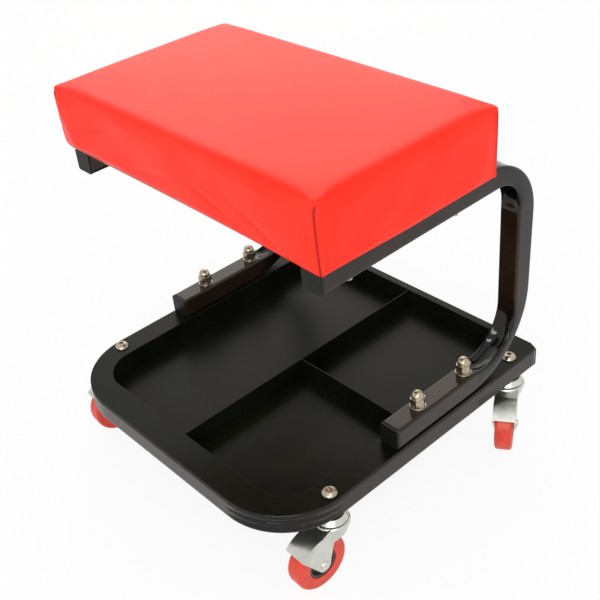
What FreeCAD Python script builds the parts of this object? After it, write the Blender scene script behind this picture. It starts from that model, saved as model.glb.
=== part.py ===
import FreeCAD, Part
import math
import os
import Sketcher

# Creeper seat: a padded box seat on two C-shaped legs of square tube, which stand on a U-shaped
# base tube with a divided tray and four swivel casters.
# Frame: X runs left to right along the seat, Y from the rounded front of the tray to the bent
# rear of the legs, Z up. The origin is on the floor, under the centre of the object's box.

doc = FreeCAD.newDocument("CreeperSeat")
sheet = doc.addObject("Spreadsheet::Sheet", "Sizes")
sheet.set("A1", "Size")
sheet.set("B1", "Value in millimetres, or as a share, count or angle")
sheet.set("C1", "Meaning")


class Size:
    # A value together with the sheet formula that gives it.
    def __init__(self, value, formula):
        self.value = float(value)
        self.formula = formula

    def __add__(self, other):
        return Size(self.value + numberOf(other), "(%s + %s)" % (self.formula, formulaOf(other)))

    def __radd__(self, other):
        return Size(numberOf(other) + self.value, "(%s + %s)" % (formulaOf(other), self.formula))

    def __sub__(self, other):
        return Size(self.value - numberOf(other), "(%s - %s)" % (self.formula, formulaOf(other)))

    def __rsub__(self, other):
        return Size(numberOf(other) - self.value, "(%s - %s)" % (formulaOf(other), self.formula))

    def __mul__(self, other):
        return Size(self.value * numberOf(other), "(%s * %s)" % (self.formula, formulaOf(other)))

    def __rmul__(self, other):
        return Size(numberOf(other) * self.value, "(%s * %s)" % (formulaOf(other), self.formula))

    def __truediv__(self, other):
        return Size(self.value / numberOf(other), "(%s / %s)" % (self.formula, formulaOf(other)))

    def __neg__(self):
        return Size(-self.value, "(-%s)" % self.formula)


def numberOf(item):
    return item.value if isinstance(item, Size) else float(item)


def formulaOf(item):
    return item.formula if isinstance(item, Size) else "(%r)" % float(item)


def cosine(angle):
    return Size(math.cos(math.radians(angle.value)), "cos(%s * 1 deg)" % angle.formula)


def sine(angle):
    return Size(math.sin(math.radians(angle.value)), "sin(%s * 1 deg)" % angle.formula)


sheetRow = [1]


def size(alias, value, meaning):
    # One row of the sheet, which drives every object that uses the size.
    sheetRow[0] += 1
    row = sheetRow[0]
    sheet.set("A%d" % row, alias)
    sheet.set("B%d" % row, repr(value))
    sheet.setAlias("B%d" % row, alias)
    sheet.set("C%d" % row, meaning)
    return Size(value, "Sizes." + alias)


# Square tube and sheet metal
tubeSize = size("tubeSize", 22, "side of the square steel tube")
tubeWall = size("tubeWall", 1.5, "wall of the square tube")
tubeEdge = size("tubeEdge", 2.5, "outer radius along the tube's long edges")
traySheet = size("traySheet", 1, "thickness of the tray's sheet")
dividerSheet = size("dividerSheet", 1.2, "thickness of the tray dividers")
cutOverrun = size("cutOverrun", 5, "how far a cut runs past the face it opens")

# Base
baseHalfWidth = size("baseHalfWidth", 173, "middle to outer side face of the base tube")
baseFront = size("baseFront", 178.5, "middle to front face of the base tube")
flangeRear = size("flangeRear", 178.5, "middle to the tray flange's rear edge")
flangeOverhang = size("flangeOverhang", 2.5, "tray flange past the rear end of the base tube's plugs")
baseRear = flangeRear - flangeOverhang
baseBend = size("baseBend", 73, "outer radius of the base tube's front corners")
casterRise = size("casterRise", 73.5, "floor to underside of the base tube")

# Tray
flangeInset = size("flangeInset", 0.8, "tray flange edge inside the tube's outer face")
flangeClipAcross = size("flangeClipAcross", 8, "clipped rear corner of the flange, across")
flangeClipDeep = size("flangeClipDeep", 3.5, "clipped rear corner of the flange, front to back")
sideMargin = size("sideMargin", 5.3, "base tube's inner side face to the tray's inner side wall")
frontMargin = size("frontMargin", 6.8, "back of the base tube's front run to the tray's inner front wall")
rearMargin = size("rearMargin", 8.5, "flange's rear edge to the tray's inner rear wall")
wellHalfWidth = baseHalfWidth - tubeSize - sideMargin
wellFront = baseFront - tubeSize - frontMargin
wellRear = flangeRear - rearMargin
wellCorner = size("wellCorner", 36, "inner radius of the tray's front corners")
wellLift = size("wellLift", 0.4, "underside of the base tube to the underside of the tray floor")
wellEdge = size("wellEdge", 0.7, "softened edge where the flange meets the tray wall")
dividerPlace = size("dividerPlace", 3.2, "long divider right of the middle")
crossPlace = size("crossPlace", 4.9, "cross divider behind the middle")
dividerDrop = size("dividerDrop", 0.5, "divider tops below the flange top")
dividerFoot = size("dividerFoot", 9, "width of the dividers' welded feet")
dividerGap = size("dividerGap", 0.25, "gap between a divider's end and the tray wall")

# Legs
legInset = size("legInset", 2, "outer side face of each leg inside the base tube's outer side face")
legOuter = baseHalfWidth - legInset
legSpread = legOuter - tubeSize / 2
legHeight = size("legHeight", 234, "flange top to seat underside")
legRearInset = size("legRearInset", 17.6, "tray flange's rear edge to the rear face of the legs")
legRear = flangeRear - legRearInset
armSetback = size("armSetback", 4.7, "seat's front edge to the front end of the upper arms")
lowerArmFront = size("lowerArmFront", 31.1, "middle to the front end of the lower arms")
upperBendOuter = size("upperBendOuter", 70, "outer radius of the pressed upper bend")
upperBendInner = size("upperBendInner", 31, "inner radius of the pressed upper bend")
lowerBendOuter = size("lowerBendOuter", 88, "outer radius of the pressed lower bend")
lowerBendInner = size("lowerBendInner", 46, "inner radius of the pressed lower bend")

# Tube plugs
plugHead = size("plugHead", 1.5, "thickness of a tube plug's head")
plugDepth = size("plugDepth", 9, "how far a plug reaches into its tube")
plugPlay = size("plugPlay", 0.1, "gap between a plug and the tube's inside, each side")

# Seat
seatOverhang = size("seatOverhang", 6.5, "outer side face of each leg to the seat's side edge")
seatWidth = 2 * (legOuter + seatOverhang)
seatDepth = size("seatDepth", 208, "seat, front to back")
seatShift = size("seatShift", 7.5, "seat centre in front of the base centre")
seatHeight = size("seatHeight", 66.5, "seat underside to the top of the crown")
seatCorner = size("seatCorner", 9, "plan radius of the seat's upright corners")
seatCornerShare = size("seatCornerShare", 0.3, "growth of the corner radius with a section's inset")
coverThickness = size("coverThickness", 1.2, "thickness of the vinyl cover")
coverMargin = size("coverMargin", 34, "cover turned in under the board")
boardThickness = size("boardThickness", 12, "plywood seat board")
seatBoltFrontInset = size("seatBoltFrontInset", 41.5, "seat's front edge to the front seat bolts")
seatBoltRearInset = size("seatBoltRearInset", 38.5, "seat's rear edge to the rear seat bolts")
seatBoltRadius = size("seatBoltRadius", 3, "shank radius of the seat bolts")
seatBoltHeadAcross = size("seatBoltHeadAcross", 10, "seat bolt head across its flats")
seatBoltHeadHeight = size("seatBoltHeadHeight", 4, "height of a seat bolt head")
seatWasherRadius = size("seatWasherRadius", 7, "outer radius of the seat bolt washers")
seatWasherThickness = size("seatWasherThickness", 1.2, "thickness of the seat bolt washers")
teeFlangeRadius = size("teeFlangeRadius", 9.5, "flange radius of the tee nuts")
teeFlangeThickness = size("teeFlangeThickness", 1.3, "flange thickness of the tee nuts")
teeBarrelRadius = size("teeBarrelRadius", 4, "barrel radius of the tee nuts")
teeBarrelLength = size("teeBarrelLength", 9, "length of a tee nut with its flange")
stapleCrown = size("stapleCrown", 10, "width of a staple")
stapleWire = size("stapleWire", 0.9, "thickness of the staple wire")
stapleLength = size("stapleLength", 8, "height of a staple")
stapleInset = size("stapleInset", 2.5, "staple line inside the edge of the turned-in cover")
frontStapleCount = size("frontStapleCount", 8, "staples along the front, and along the rear")
sideStapleCount = size("sideStapleCount", 4, "staples along each side")

# Leg bolts
legBoltFirst = size("legBoltFirst", 9.1, "middle back to the front leg bolts")
legBoltSpacing = size("legBoltSpacing", 66.1, "distance between a leg's two bolts")
boltRadius = size("boltRadius", 4, "shank radius of the leg and caster bolts")
boltPlay = size("boltPlay", 0.2, "gap round a bolt in its hole")
threadPlay = size("threadPlay", 0.05, "gap between a thread and its nut")
legBoltHeadAcross = size("legBoltHeadAcross", 13, "leg bolt head and acorn nut across the flats")
legBoltHeadHeight = size("legBoltHeadHeight", 5.3, "height of a leg bolt head")
washerRadius = size("washerRadius", 8, "outer radius of the flat washers")
washerThickness = size("washerThickness", 1.5, "thickness of the flat washers")
springWasherRadius = size("springWasherRadius", 7.2, "outer radius of the spring washers")
springWasherThickness = size("springWasherThickness", 2, "thickness of the spring washers")
springWasherSlit = size("springWasherSlit", 1.2, "slit of the spring washers")
acornHexHeight = size("acornHexHeight", 7.5, "height of the acorn nut's hexagon")
acornHeight = size("acornHeight", 15, "full height of an acorn nut")
acornDomeRadius = size("acornDomeRadius", 6, "radius of the acorn nut's dome")
acornBore = size("acornBore", 10.5, "depth of the acorn nut's thread")

# Caster bolts and races
casterFrontInset = size("casterFrontInset", 68.2, "base tube's front face to the front swivel axes")
casterRearInset = size("casterRearInset", 33.7, "tray flange's rear edge to the rear swivel axes")
buttonRadius = size("buttonRadius", 7.5, "radius of the caster bolts' button heads")
buttonHeight = size("buttonHeight", 4.4, "height of the button heads")
buttonRim = size("buttonRim", 1, "upright edge of the button heads")
buttonTop = size("buttonTop", 3.6, "radius of the button heads' flat top")
socketAcross = size("socketAcross", 5, "hexagon socket across its flats")
socketDepth = size("socketDepth", 2.6, "depth of the hexagon socket")
cupSheet = size("cupSheet", 1.5, "sheet of the upper race cup")
cupTopRadius = size("cupTopRadius", 12, "top radius of the upper race cup")
cupRimRadius = size("cupRimRadius", 15.5, "rim radius of the upper race cup")
cupDepth = size("cupDepth", 5.2, "height of the upper race cup")
ballRadius = size("ballRadius", 2.5, "radius of the upper race balls")
ballCircle = size("ballCircle", 10.2, "radius of the upper ring of balls")
ballCount = size("ballCount", 12, "balls in the upper ring")
smallBallRadius = size("smallBallRadius", 1.5, "radius of the lower race balls")
smallBallCircle = size("smallBallCircle", 8, "radius of the lower ring of balls")
smallBallCount = size("smallBallCount", 9, "balls in the lower ring")
racePlay = size("racePlay", 0.1, "running gap of the balls under the fixed race")
sleeveRadius = size("sleeveRadius", 6, "outer radius of the king sleeve")
lowerRaceRadius = size("lowerRaceRadius", 9.2, "radius of the lower race")
lowerRaceThickness = size("lowerRaceThickness", 1.5, "thickness of the lower race")
casterNutAcross = size("casterNutAcross", 13, "caster nut across the flats")
casterNutHeight = size("casterNutHeight", 5.5, "height of a caster nut")

# Yoke
yokeSheet = size("yokeSheet", 1.8, "sheet of the pressed yoke")
yokeWidth = size("yokeWidth", 23, "width over the yoke's side plates")
yokePlateRadius = size("yokePlateRadius", 17, "radius of the yoke's race plate")
yokePlateRoll = size("yokePlateRoll", 2.4, "drop of the race plate's rolled edge")
yokeSkirtRadius = size("yokeSkirtRadius", 13, "outer radius at the foot of the bell skirt")
yokeSkirtDrop = size("yokeSkirtDrop", 15.5, "race plate top to the foot of the bell skirt")
yokeHoleRadius = size("yokeHoleRadius", 7.2, "hole in the race plate")
yokeFront = size("yokeFront", 12, "swivel axis to the front of the side plates")
yokeFlat = size("yokeFlat", 11, "swivel axis to the start of the hood's slope")
yokeShoulder = size("yokeShoulder", 7, "race plate top to the front corner of the side plates")
yokeWaist = size("yokeWaist", 18.4, "race plate top to the underside of the side plates")
yokeWaistEnd = size("yokeWaistEnd", 9.5, "swivel axis to the front edge of the fork legs")
hoodPlay = size("hoodPlay", 3.2, "gap between tyre and hood")
hoodAngle = size("hoodAngle", 42, "angle of the hood's lower edge above the axle, in degrees")
hoodCutAngle = size("hoodCutAngle", 28, "angle where the inside of the hood runs out, in degrees")
lugRadius = size("lugRadius", 7.2, "radius of the fork ends round the axle")
lugAngle = size("lugAngle", 39, "angle of the fork's lower edge below the axle, in degrees")

# Wheel
wheelDiameter = size("wheelDiameter", 57, "diameter of the tyre")
tyreWidth = size("tyreWidth", 18, "width of the tyre")
tyreShoulder = size("tyreShoulder", 3.5, "rounded shoulder of the tyre")
coreRadius = size("coreRadius", 15.5, "outer radius of the wheel core")
coreWidth = size("coreWidth", 16, "width of the core's rim")
coreRim = size("coreRim", 2.5, "thickness of the core's rim")
coreWeb = size("coreWeb", 6, "thickness of the core's web")
hubRadius = size("hubRadius", 7.5, "radius of the hub")
hubPlay = size("hubPlay", 0.4, "side gap between hub and yoke, each side")
trail = size("trail", 22, "swivel axis to axle")
axleRadius = size("axleRadius", 3, "radius of the axle rivet")
axleHeadRadius = size("axleHeadRadius", 4.6, "radius of the axle rivet's heads")
axleHeadHeight = size("axleHeadHeight", 1.8, "height of the axle rivet's heads")
sleeveWall = size("sleeveWall", 1.6, "wall of the axle sleeve")
runningPlay = size("runningPlay", 0.06, "radial gap of a running fit")
frontLeftAngle = size("frontLeftAngle", -95, "trail of the front left caster, in degrees from +X")
frontRightAngle = size("frontRightAngle", -92, "trail of the front right caster, in degrees from +X")
rearLeftAngle = size("rearLeftAngle", -123, "trail of the rear left caster, in degrees from +X")
rearRightAngle = size("rearRightAngle", -57, "trail of the rear right caster, in degrees from +X")

# Levels and places that follow from the sizes above
tubeTop = casterRise + tubeSize
flangeTop = tubeTop + traySheet
floorLevel = casterRise + wellLift + traySheet
wellDepth = flangeTop - floorLevel
seatLevel = flangeTop + legHeight
lowerArmTop = flangeTop + tubeSize
upperArmBottom = seatLevel - tubeSize
boardLevel = seatLevel + coverThickness
boardTop = boardLevel + boardThickness
wheelRadius = wheelDiameter / 2
seatFront = seatShift + seatDepth / 2
upperArmFront = seatFront - armSetback
seatBoltFront = seatFront - seatBoltFrontInset
seatBoltRear = seatDepth / 2 - seatShift - seatBoltRearInset
casterSpread = baseHalfWidth - tubeSize / 2
casterFront = baseFront - casterFrontInset
casterRear = flangeRear - casterRearInset
yokeInside = yokeWidth - 2 * yokeSheet
yokeTop = casterRise - cupSheet - racePlay - 2 * ballRadius
yokeUnder = yokeTop - yokeSheet
lowerRaceTop = yokeUnder - 2 * smallBallRadius - racePlay
lowerRaceUnder = lowerRaceTop - lowerRaceThickness
hoodRadius = wheelRadius + hoodPlay + yokeSheet
legBoltPlaces = [
    (side * legSpread, legBoltFirst + step * legBoltSpacing) for side in (-1, 1) for step in (0, 1)
]
casterPlaces = {
    "front_left": (-casterSpread, -casterFront, frontLeftAngle),
    "front_right": (casterSpread, -casterFront, frontRightAngle),
    "rear_left": (-casterSpread, casterRear, rearLeftAngle),
    "rear_right": (casterSpread, casterRear, rearRightAngle),
}
seatBoltPlaces = [(side * legSpread, place) for side in (-1, 1) for place in (-seatBoltFront, seatBoltRear)]
hexShare = 1 / math.sqrt(3)
# Two lengths within this share of the cut overrun count as equal.
matchShare = 0.001
# Angles in degrees
quarterTurn = Size(90, "(90.0)")
halfTurn = Size(180, "(180.0)")
fullTurn = Size(360, "(360.0)")


def bind(item, name, value):
    if isinstance(value, Size):
        item.setExpression(name, value.formula)


def placeAt(item, across=0, along=0, up=0, angle=None):
    # Placement with each coordinate bound to the sheet.
    base = FreeCAD.Vector(numberOf(across), numberOf(along), numberOf(up))
    turn = FreeCAD.Rotation(FreeCAD.Vector(0, 0, 1), numberOf(angle) if angle else 0)
    item.Placement = FreeCAD.Placement(base, turn)
    bind(item, "Placement.Base.x", across)
    bind(item, "Placement.Base.y", along)
    bind(item, "Placement.Base.z", up)
    bind(item, "Placement.Rotation.Angle", angle)
    return item


def newBody(name):
    body = doc.addObject("PartDesign::Body", name)
    body.Label = name
    return body


def newSketch(body, role, lift=0, right=0, up=0):
    # A sketch on one of the body's own planes, lifted along its normal.
    sketch = body.newObject("Sketcher::SketchObject", body.Name + "Sketch")
    plane = next(item for item in body.Origin.OriginFeatures if item.Role == role)
    sketch.AttachmentSupport = [(plane, "")]
    sketch.MapMode = "FlatFace"
    offset = FreeCAD.Vector(numberOf(right), numberOf(up), numberOf(lift))
    sketch.AttachmentOffset = FreeCAD.Placement(offset, FreeCAD.Rotation())
    bind(sketch, "AttachmentOffset.Base.x", right)
    bind(sketch, "AttachmentOffset.Base.y", up)
    bind(sketch, "AttachmentOffset.Base.z", lift)
    return sketch


def pinPoint(sketch, edge, end, across, up):
    # Holds one point of a sketch at its place, or on the axis where a coordinate is zero.
    for kind, axis, value in (("DistanceX", -2, across), ("DistanceY", -1, up)):
        if isinstance(value, Size):
            index = sketch.addConstraint(Sketcher.Constraint(kind, -1, 1, edge, end, value.value))
            bind(sketch, "Constraints[%d]" % index, value)
        else:
            sketch.addConstraint(Sketcher.Constraint("PointOnObject", edge, end, axis))


def arcBetween(start, end, radius, turn):
    # The short arc from start to end, turning left (1) or right (-1).
    chord = end - start
    reach = math.sqrt(max(radius * radius - (chord.Length / 2) ** 2, 0))
    normal = FreeCAD.Vector(-chord.y, chord.x, 0).normalize() * turn
    centre = (start + end) * 0.5 + normal * reach
    first, last = (start, end) if turn > 0 else (end, start)
    angles = [math.atan2(point.y - centre.y, point.x - centre.x) for point in (first, last)]
    return Part.ArcOfCircle(Part.Circle(centre, FreeCAD.Vector(0, 0, 1), radius), angles[0], angles[1])


def drawOutline(sketch, points):
    # Closed outline. A point is (across, up), and with (radius, turn) added an arc leaves it.
    edges = []
    for index, point in enumerate(points):
        after = points[(index + 1) % len(points)]
        start = FreeCAD.Vector(numberOf(point[0]), numberOf(point[1]), 0)
        end = FreeCAD.Vector(numberOf(after[0]), numberOf(after[1]), 0)
        if len(point) == 2:
            edges.append((sketch.addGeometry(Part.LineSegment(start, end), False), 1, 2))
        else:
            arc = sketch.addGeometry(arcBetween(start, end, point[2].value, point[3]), False)
            edges.append((arc, 1, 2) if point[3] > 0 else (arc, 2, 1))
    for index, (edge, first, last) in enumerate(edges):
        nextEdge, nextFirst, nextLast = edges[(index + 1) % len(edges)]
        sketch.addConstraint(Sketcher.Constraint("Coincident", edge, last, nextEdge, nextFirst))
    for (edge, first, last), point in zip(edges, points):
        pinPoint(sketch, edge, first, point[0], point[1])
        if len(point) > 2:
            index = sketch.addConstraint(Sketcher.Constraint("Radius", edge, point[2].value))
            bind(sketch, "Constraints[%d]" % index, point[2])


def drawCircle(sketch, across, up, radius):
    centre = FreeCAD.Vector(numberOf(across), numberOf(up), 0)
    circle = Part.Circle(centre, FreeCAD.Vector(0, 0, 1), radius.value)
    edge = sketch.addGeometry(circle, False)
    pinPoint(sketch, edge, 3, across, up)
    index = sketch.addConstraint(Sketcher.Constraint("Radius", edge, radius.value))
    bind(sketch, "Constraints[%d]" % index, radius)


def hexagon(across):
    # The six corners of a hexagon, from its size across the flats.
    corner = across * hexShare
    half = across / 2
    near = corner / 2
    return [(corner, 0), (near, half), (-near, half), (-corner, 0), (-near, -half), (near, -half)]


def rectangle(halfWidth, front, rear):
    return [(-halfWidth, front), (halfWidth, front), (halfWidth, rear), (-halfWidth, rear)]


def pad(body, sketch, length, symmetric=False, down=False):
    feature = body.newObject("PartDesign::Pad", body.Name + "Pad")
    feature.Profile = sketch
    feature.Length = length.value
    bind(feature, "Length", length)
    feature.SideType = "Symmetric" if symmetric else "One side"
    feature.Reversed = down
    doc.recompute()
    return feature


def pocket(body, sketch, length, symmetric=False, upward=False):
    # A cut, which has to take material away.
    doc.recompute()
    before = body.Shape.Volume
    feature = body.newObject("PartDesign::Pocket", body.Name + "Pocket")
    feature.Profile = sketch
    feature.Length = length.value
    bind(feature, "Length", length)
    feature.SideType = "Symmetric" if symmetric else "One side"
    feature.Reversed = upward
    doc.recompute()
    if not body.Shape.Volume < before:
        raise ValueError("a cut in %s takes nothing away" % body.Label)
    return feature


def revolve(body, sketch, axis):
    feature = body.newObject("PartDesign::Revolution", body.Name + "Revolution")
    feature.Profile = sketch
    feature.ReferenceAxis = (sketch, [axis])
    feature.Angle = fullTurn.value
    doc.recompute()
    return feature


def turned(name, points):
    # A turned piece: an outline of (radius, height) points revolved about its upright axis.
    body = newBody(name)
    sketch = newSketch(body, "XZ_Plane")
    drawOutline(sketch, points)
    revolve(body, sketch, "V_Axis")
    return body


def drill(body, places, radius, lift, depth):
    # Upright holes, centred on a level.
    sketch = newSketch(body, "XY_Plane", lift)
    for across, along in places:
        drawCircle(sketch, across, along, radius)
    return pocket(body, sketch, depth, symmetric=True)


def filletEdges(body, base, radius, keep):
    # Rounds the edges for which keep(edge) is true.
    feature = body.newObject("PartDesign::Fillet", body.Name + "Fillet")
    names = ["Edge%d" % (index + 1) for index, edge in enumerate(base.Shape.Edges) if keep(edge)]
    feature.Base = (base, names)
    feature.Radius = radius.value
    bind(feature, "Radius", radius)
    doc.recompute()
    return feature


def group(name, items):
    # Identical small pieces kept as separate solids of one node.
    compound = doc.addObject("Part::Compound", name)
    compound.Label = name
    compound.Links = items
    return compound


def close(first, second):
    return abs(first - second) < cutOverrun.value * matchShare


def seatSection(inset, corner):
    # A rounded rectangle in plan, drawn in from the seat's full size.
    halfWidth = seatWidth / 2 - inset
    front = -seatShift - seatDepth / 2 + inset
    rear = -seatShift + seatDepth / 2 - inset
    side = halfWidth - corner
    return [
        (-side, front),
        (side, front, corner, 1),
        (halfWidth, front + corner),
        (halfWidth, rear - corner, corner, 1),
        (side, rear),
        (-side, rear, corner, 1),
        (-halfWidth, rear - corner),
        (-halfWidth, front + corner, corner, 1),
    ]


# Each pair: the section's height as a share of the seat's height, and how far it is drawn in as a
# share of half the seat's depth. They give the tucked foot, the full sides and the crown.
coverSectionShares = [
    (0, 0.03),
    (0.1, 0.006),
    (0.35, 0),
    (0.7, 0.004),
    (0.84, 0.015),
    (0.905, 0.038),
    (0.945, 0.08),
    (0.98, 0.22),
    (1, 0.5),
]
footShare = coverSectionShares[0][1]
boardInset = coverThickness + footShare * seatDepth / 2


def seatLevels(skin):
    # The levels and insets of the seat's outer form, or of the space a skin's thickness inside it.
    levels = []
    for heightShare, insetShare in coverSectionShares:
        level = seatLevel + heightShare * seatHeight - skin
        levels.append((level, insetShare * seatDepth / 2 + skin))
    return levels


def seatLoft(body, kind, levels):
    # A loft through rounded rectangles, one at each level.
    sketches = []
    for level, inset in levels:
        sketch = newSketch(body, "XY_Plane", level)
        drawOutline(sketch, seatSection(inset, seatCorner + inset * seatCornerShare))
        sketches.append(sketch)
    doc.recompute()
    before = body.Shape.Volume if kind == "PartDesign::SubtractiveLoft" else 0
    loft = body.newObject(kind, body.Name + "Loft")
    loft.Profile = sketches[0]
    loft.Sections = sketches[1:]
    loft.Ruled = True
    doc.recompute()
    if before and not body.Shape.Volume < before:
        raise ValueError("the hollow of %s takes nothing away" % body.Label)


def insideLevels():
    # The board's straight sides, then the underside of the cover.
    fullSides = seatLevels(coverThickness)[2:]
    return [(boardLevel, boardInset), (boardTop, boardInset)] + fullSides


def staples():
    # Wire staples that hold the turned-in cover to the board.
    items = []
    insetAcross = seatWidth / 2 - coverMargin + stapleInset
    insetAlong = seatDepth / 2 - coverMargin + stapleInset
    places = []
    frontCount = int(frontStapleCount.value)
    for row in (-1, 1):
        for index in range(frontCount):
            share = (2 * index + 1) / frontCount - 1
            places.append((insetAcross * share, row * insetAlong - seatShift, None))
    sideCount = int(sideStapleCount.value)
    for row in (-1, 1):
        for index in range(sideCount):
            share = (2 * index + 1) / sideCount - 1
            places.append((row * insetAcross, insetAlong * share - seatShift, quarterTurn))
    for across, along, angle in places:
        crown = doc.addObject("Part::Box", "stapleCrown")
        bars = [(crown, stapleCrown, stapleWire, -stapleCrown / 2, seatLevel - stapleWire)]
        for end in (-stapleCrown / 2, stapleCrown / 2 - stapleWire):
            leg = doc.addObject("Part::Box", "stapleLeg")
            bars.append((leg, stapleWire, stapleLength, end, seatLevel - stapleWire))
        for bar, width, height, start, level in bars:
            bind(bar, "Length", width)
            bind(bar, "Width", stapleWire)
            bind(bar, "Height", height)
            placeAt(bar, start, -stapleWire / 2, level)
        staple = doc.addObject("Part::MultiFuse", "staple")
        staple.Shapes = [bar[0] for bar in bars]
        items.append(placeAt(staple, across, along, 0, angle))
    return group("seat_staples", items)


def cutFrom(name, body, tool):
    result = doc.addObject("Part::Cut", name)
    result.Label = name
    result.Base = body
    result.Tool = tool
    return result


def seatCover(stapleSet):
    # The vinyl skin, turned in under the board.
    body = newBody("seatCoverForm")
    seatLoft(body, "PartDesign::AdditiveLoft", seatLevels(0))
    seatLoft(body, "PartDesign::SubtractiveLoft", insideLevels())
    opening = newSketch(body, "XY_Plane", boardLevel)
    halfWidth = seatWidth / 2 - coverMargin
    halfDepth = seatDepth / 2 - coverMargin
    drawOutline(opening, rectangle(halfWidth, -seatShift - halfDepth, -seatShift + halfDepth))
    pocket(body, opening, coverThickness + cutOverrun)
    drill(body, seatBoltPlaces, seatBoltRadius + boltPlay, seatLevel, 2 * coverThickness)
    return cutFrom("seat_cover", body, stapleSet)


def seatFoam():
    body = newBody("seat_foam")
    seatLoft(body, "PartDesign::AdditiveLoft", insideLevels()[1:])
    return body


def seatBoard(stapleSet):
    # Plywood, with counterbored holes for the tee nuts.
    body = newBody("seatBoardForm")
    sketch = newSketch(body, "XY_Plane", boardLevel)
    drawOutline(sketch, seatSection(boardInset, seatCorner + boardInset * seatCornerShare))
    pad(body, sketch, boardThickness)
    drill(body, seatBoltPlaces, teeBarrelRadius, boardLevel, 2 * boardThickness + cutOverrun)
    drill(body, seatBoltPlaces, teeFlangeRadius, boardTop, 2 * teeFlangeThickness)
    return cutFrom("seat_board", body, stapleSet)


def teeNut(name, across, along):
    bore = seatBoltRadius + threadPlay
    foot = boardTop - teeBarrelLength
    step = boardTop - teeFlangeThickness
    points = [
        (bore, foot),
        (teeBarrelRadius, foot),
        (teeBarrelRadius, step),
        (teeFlangeRadius, step),
        (teeFlangeRadius, boardTop),
        (bore, boardTop),
    ]
    return placeAt(turned(name, points), across, along)


def ring(name, inner, outer, bottom, top, across, along):
    points = [(inner, bottom), (outer, bottom), (outer, top), (inner, top)]
    return placeAt(turned(name, points), across, along)


def hexBolt(name, radius, headAcross, headHeight, headTop, end, across, along):
    # A bolt that points up, with its hexagon head below.
    body = newBody(name)
    head = newSketch(body, "XY_Plane", headTop - headHeight)
    drawOutline(head, hexagon(headAcross))
    pad(body, head, headHeight)
    shank = newSketch(body, "XY_Plane", headTop)
    drawCircle(shank, 0, 0, radius)
    pad(body, shank, end - headTop)
    return placeAt(body, across, along)


def hexNut(name, across, along, flats, bottom, height):
    body = newBody(name)
    outline = newSketch(body, "XY_Plane", bottom)
    drawOutline(outline, hexagon(flats))
    drawCircle(outline, 0, 0, boltRadius + threadPlay)
    pad(body, outline, height)
    return placeAt(body, across, along)


def acornNut(name, across, along):
    # A hexagon with a rounded dome and a blind thread.
    bottom = lowerArmTop + washerThickness + springWasherThickness
    body = newBody(name)
    outline = newSketch(body, "XY_Plane", bottom)
    drawOutline(outline, hexagon(legBoltHeadAcross))
    pad(body, outline, acornHexHeight)
    dome = newSketch(body, "XZ_Plane", 0, 0, bottom)
    springLine = acornHeight - acornDomeRadius
    points = [
        (0, acornHexHeight / 2),
        (acornDomeRadius, acornHexHeight / 2),
        (acornDomeRadius, springLine, acornDomeRadius, 1),
        (0, acornHeight),
    ]
    drawOutline(dome, points)
    revolve(body, dome, "V_Axis")
    bore = newSketch(body, "XY_Plane", bottom)
    drawCircle(bore, 0, 0, boltRadius + threadPlay)
    pocket(body, bore, acornBore, upward=True)
    return placeAt(body, across, along)


def springWasher(name, across, along):
    # A split ring.
    bottom = lowerArmTop + washerThickness
    body = newBody(name)
    sketch = newSketch(body, "XY_Plane", bottom)
    drawCircle(sketch, 0, 0, springWasherRadius)
    drawCircle(sketch, 0, 0, boltRadius + boltPlay)
    pad(body, sketch, springWasherThickness)
    slit = newSketch(body, "XY_Plane", bottom)
    half = springWasherSlit / 2
    reach = springWasherRadius + cutOverrun
    drawOutline(slit, [(-half, 0), (half, 0), (half, reach), (-half, reach)])
    pocket(body, slit, springWasherThickness, upward=True)
    return placeAt(body, across, along)


def legOutline(offset, reach):
    # The C shape seen from the side. The bends are pressed flatter than the straight tube.
    low = flangeTop + offset
    high = seatLevel - offset
    rear = legRear - offset
    inner = legRear - tubeSize + offset
    lowInner = flangeTop + tubeSize - offset
    highInner = seatLevel - tubeSize + offset
    lowerOuter = lowerBendOuter - offset
    upperOuter = upperBendOuter - offset
    lowerInner = lowerBendInner + offset
    upperInner = upperBendInner + offset
    lowerEnd = plugHead - lowerArmFront - reach
    upperEnd = plugHead - upperArmFront - reach
    return [
        (lowerEnd, low),
        (rear - lowerOuter, low, lowerOuter, 1),
        (rear, low + lowerOuter),
        (rear, high - upperOuter, upperOuter, 1),
        (rear - upperOuter, high),
        (upperEnd, high),
        (upperEnd, highInner),
        (inner - upperInner, highInner, upperInner, -1),
        (inner, highInner - upperInner),
        (inner, lowInner + lowerInner, lowerInner, -1),
        (inner - lowerInner, lowInner),
        (lowerEnd, lowInner),
    ]


def leg(name, side):
    body = newBody(name)
    outline = newSketch(body, "YZ_Plane")
    drawOutline(outline, legOutline(0, 0))
    solid = pad(body, outline, tubeSize, symmetric=True)
    half = tubeSize.value / 2
    ends = [plugHead.value - front.value for front in (lowerArmFront, upperArmFront)]

    def isLongEdge(edge):
        places = [vertex.Point for vertex in edge.Vertexes]
        onSide = all(close(abs(place.x), half) for place in places)
        sameSide = close(places[0].x, places[-1].x)
        atEnd = any(all(close(place.y, end) for place in places) for end in ends)
        return onSide and sameSide and not atEnd

    filletEdges(body, solid, tubeEdge, isLongEdge)
    hollow = newSketch(body, "YZ_Plane")
    drawOutline(hollow, legOutline(tubeWall, cutOverrun))
    pocket(body, hollow, tubeSize - 2 * tubeWall, symmetric=True)
    lowerPlaces = [(0, legBoltFirst), (0, legBoltFirst + legBoltSpacing)]
    drill(body, lowerPlaces, boltRadius + boltPlay, flangeTop + tubeSize / 2, tubeSize + cutOverrun)
    upperPlaces = [(0, -seatBoltFront), (0, seatBoltRear)]
    drill(body, upperPlaces, seatBoltRadius + boltPlay, seatLevel - tubeSize / 2, tubeSize + cutOverrun)
    return placeAt(body, side * legSpread)


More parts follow.
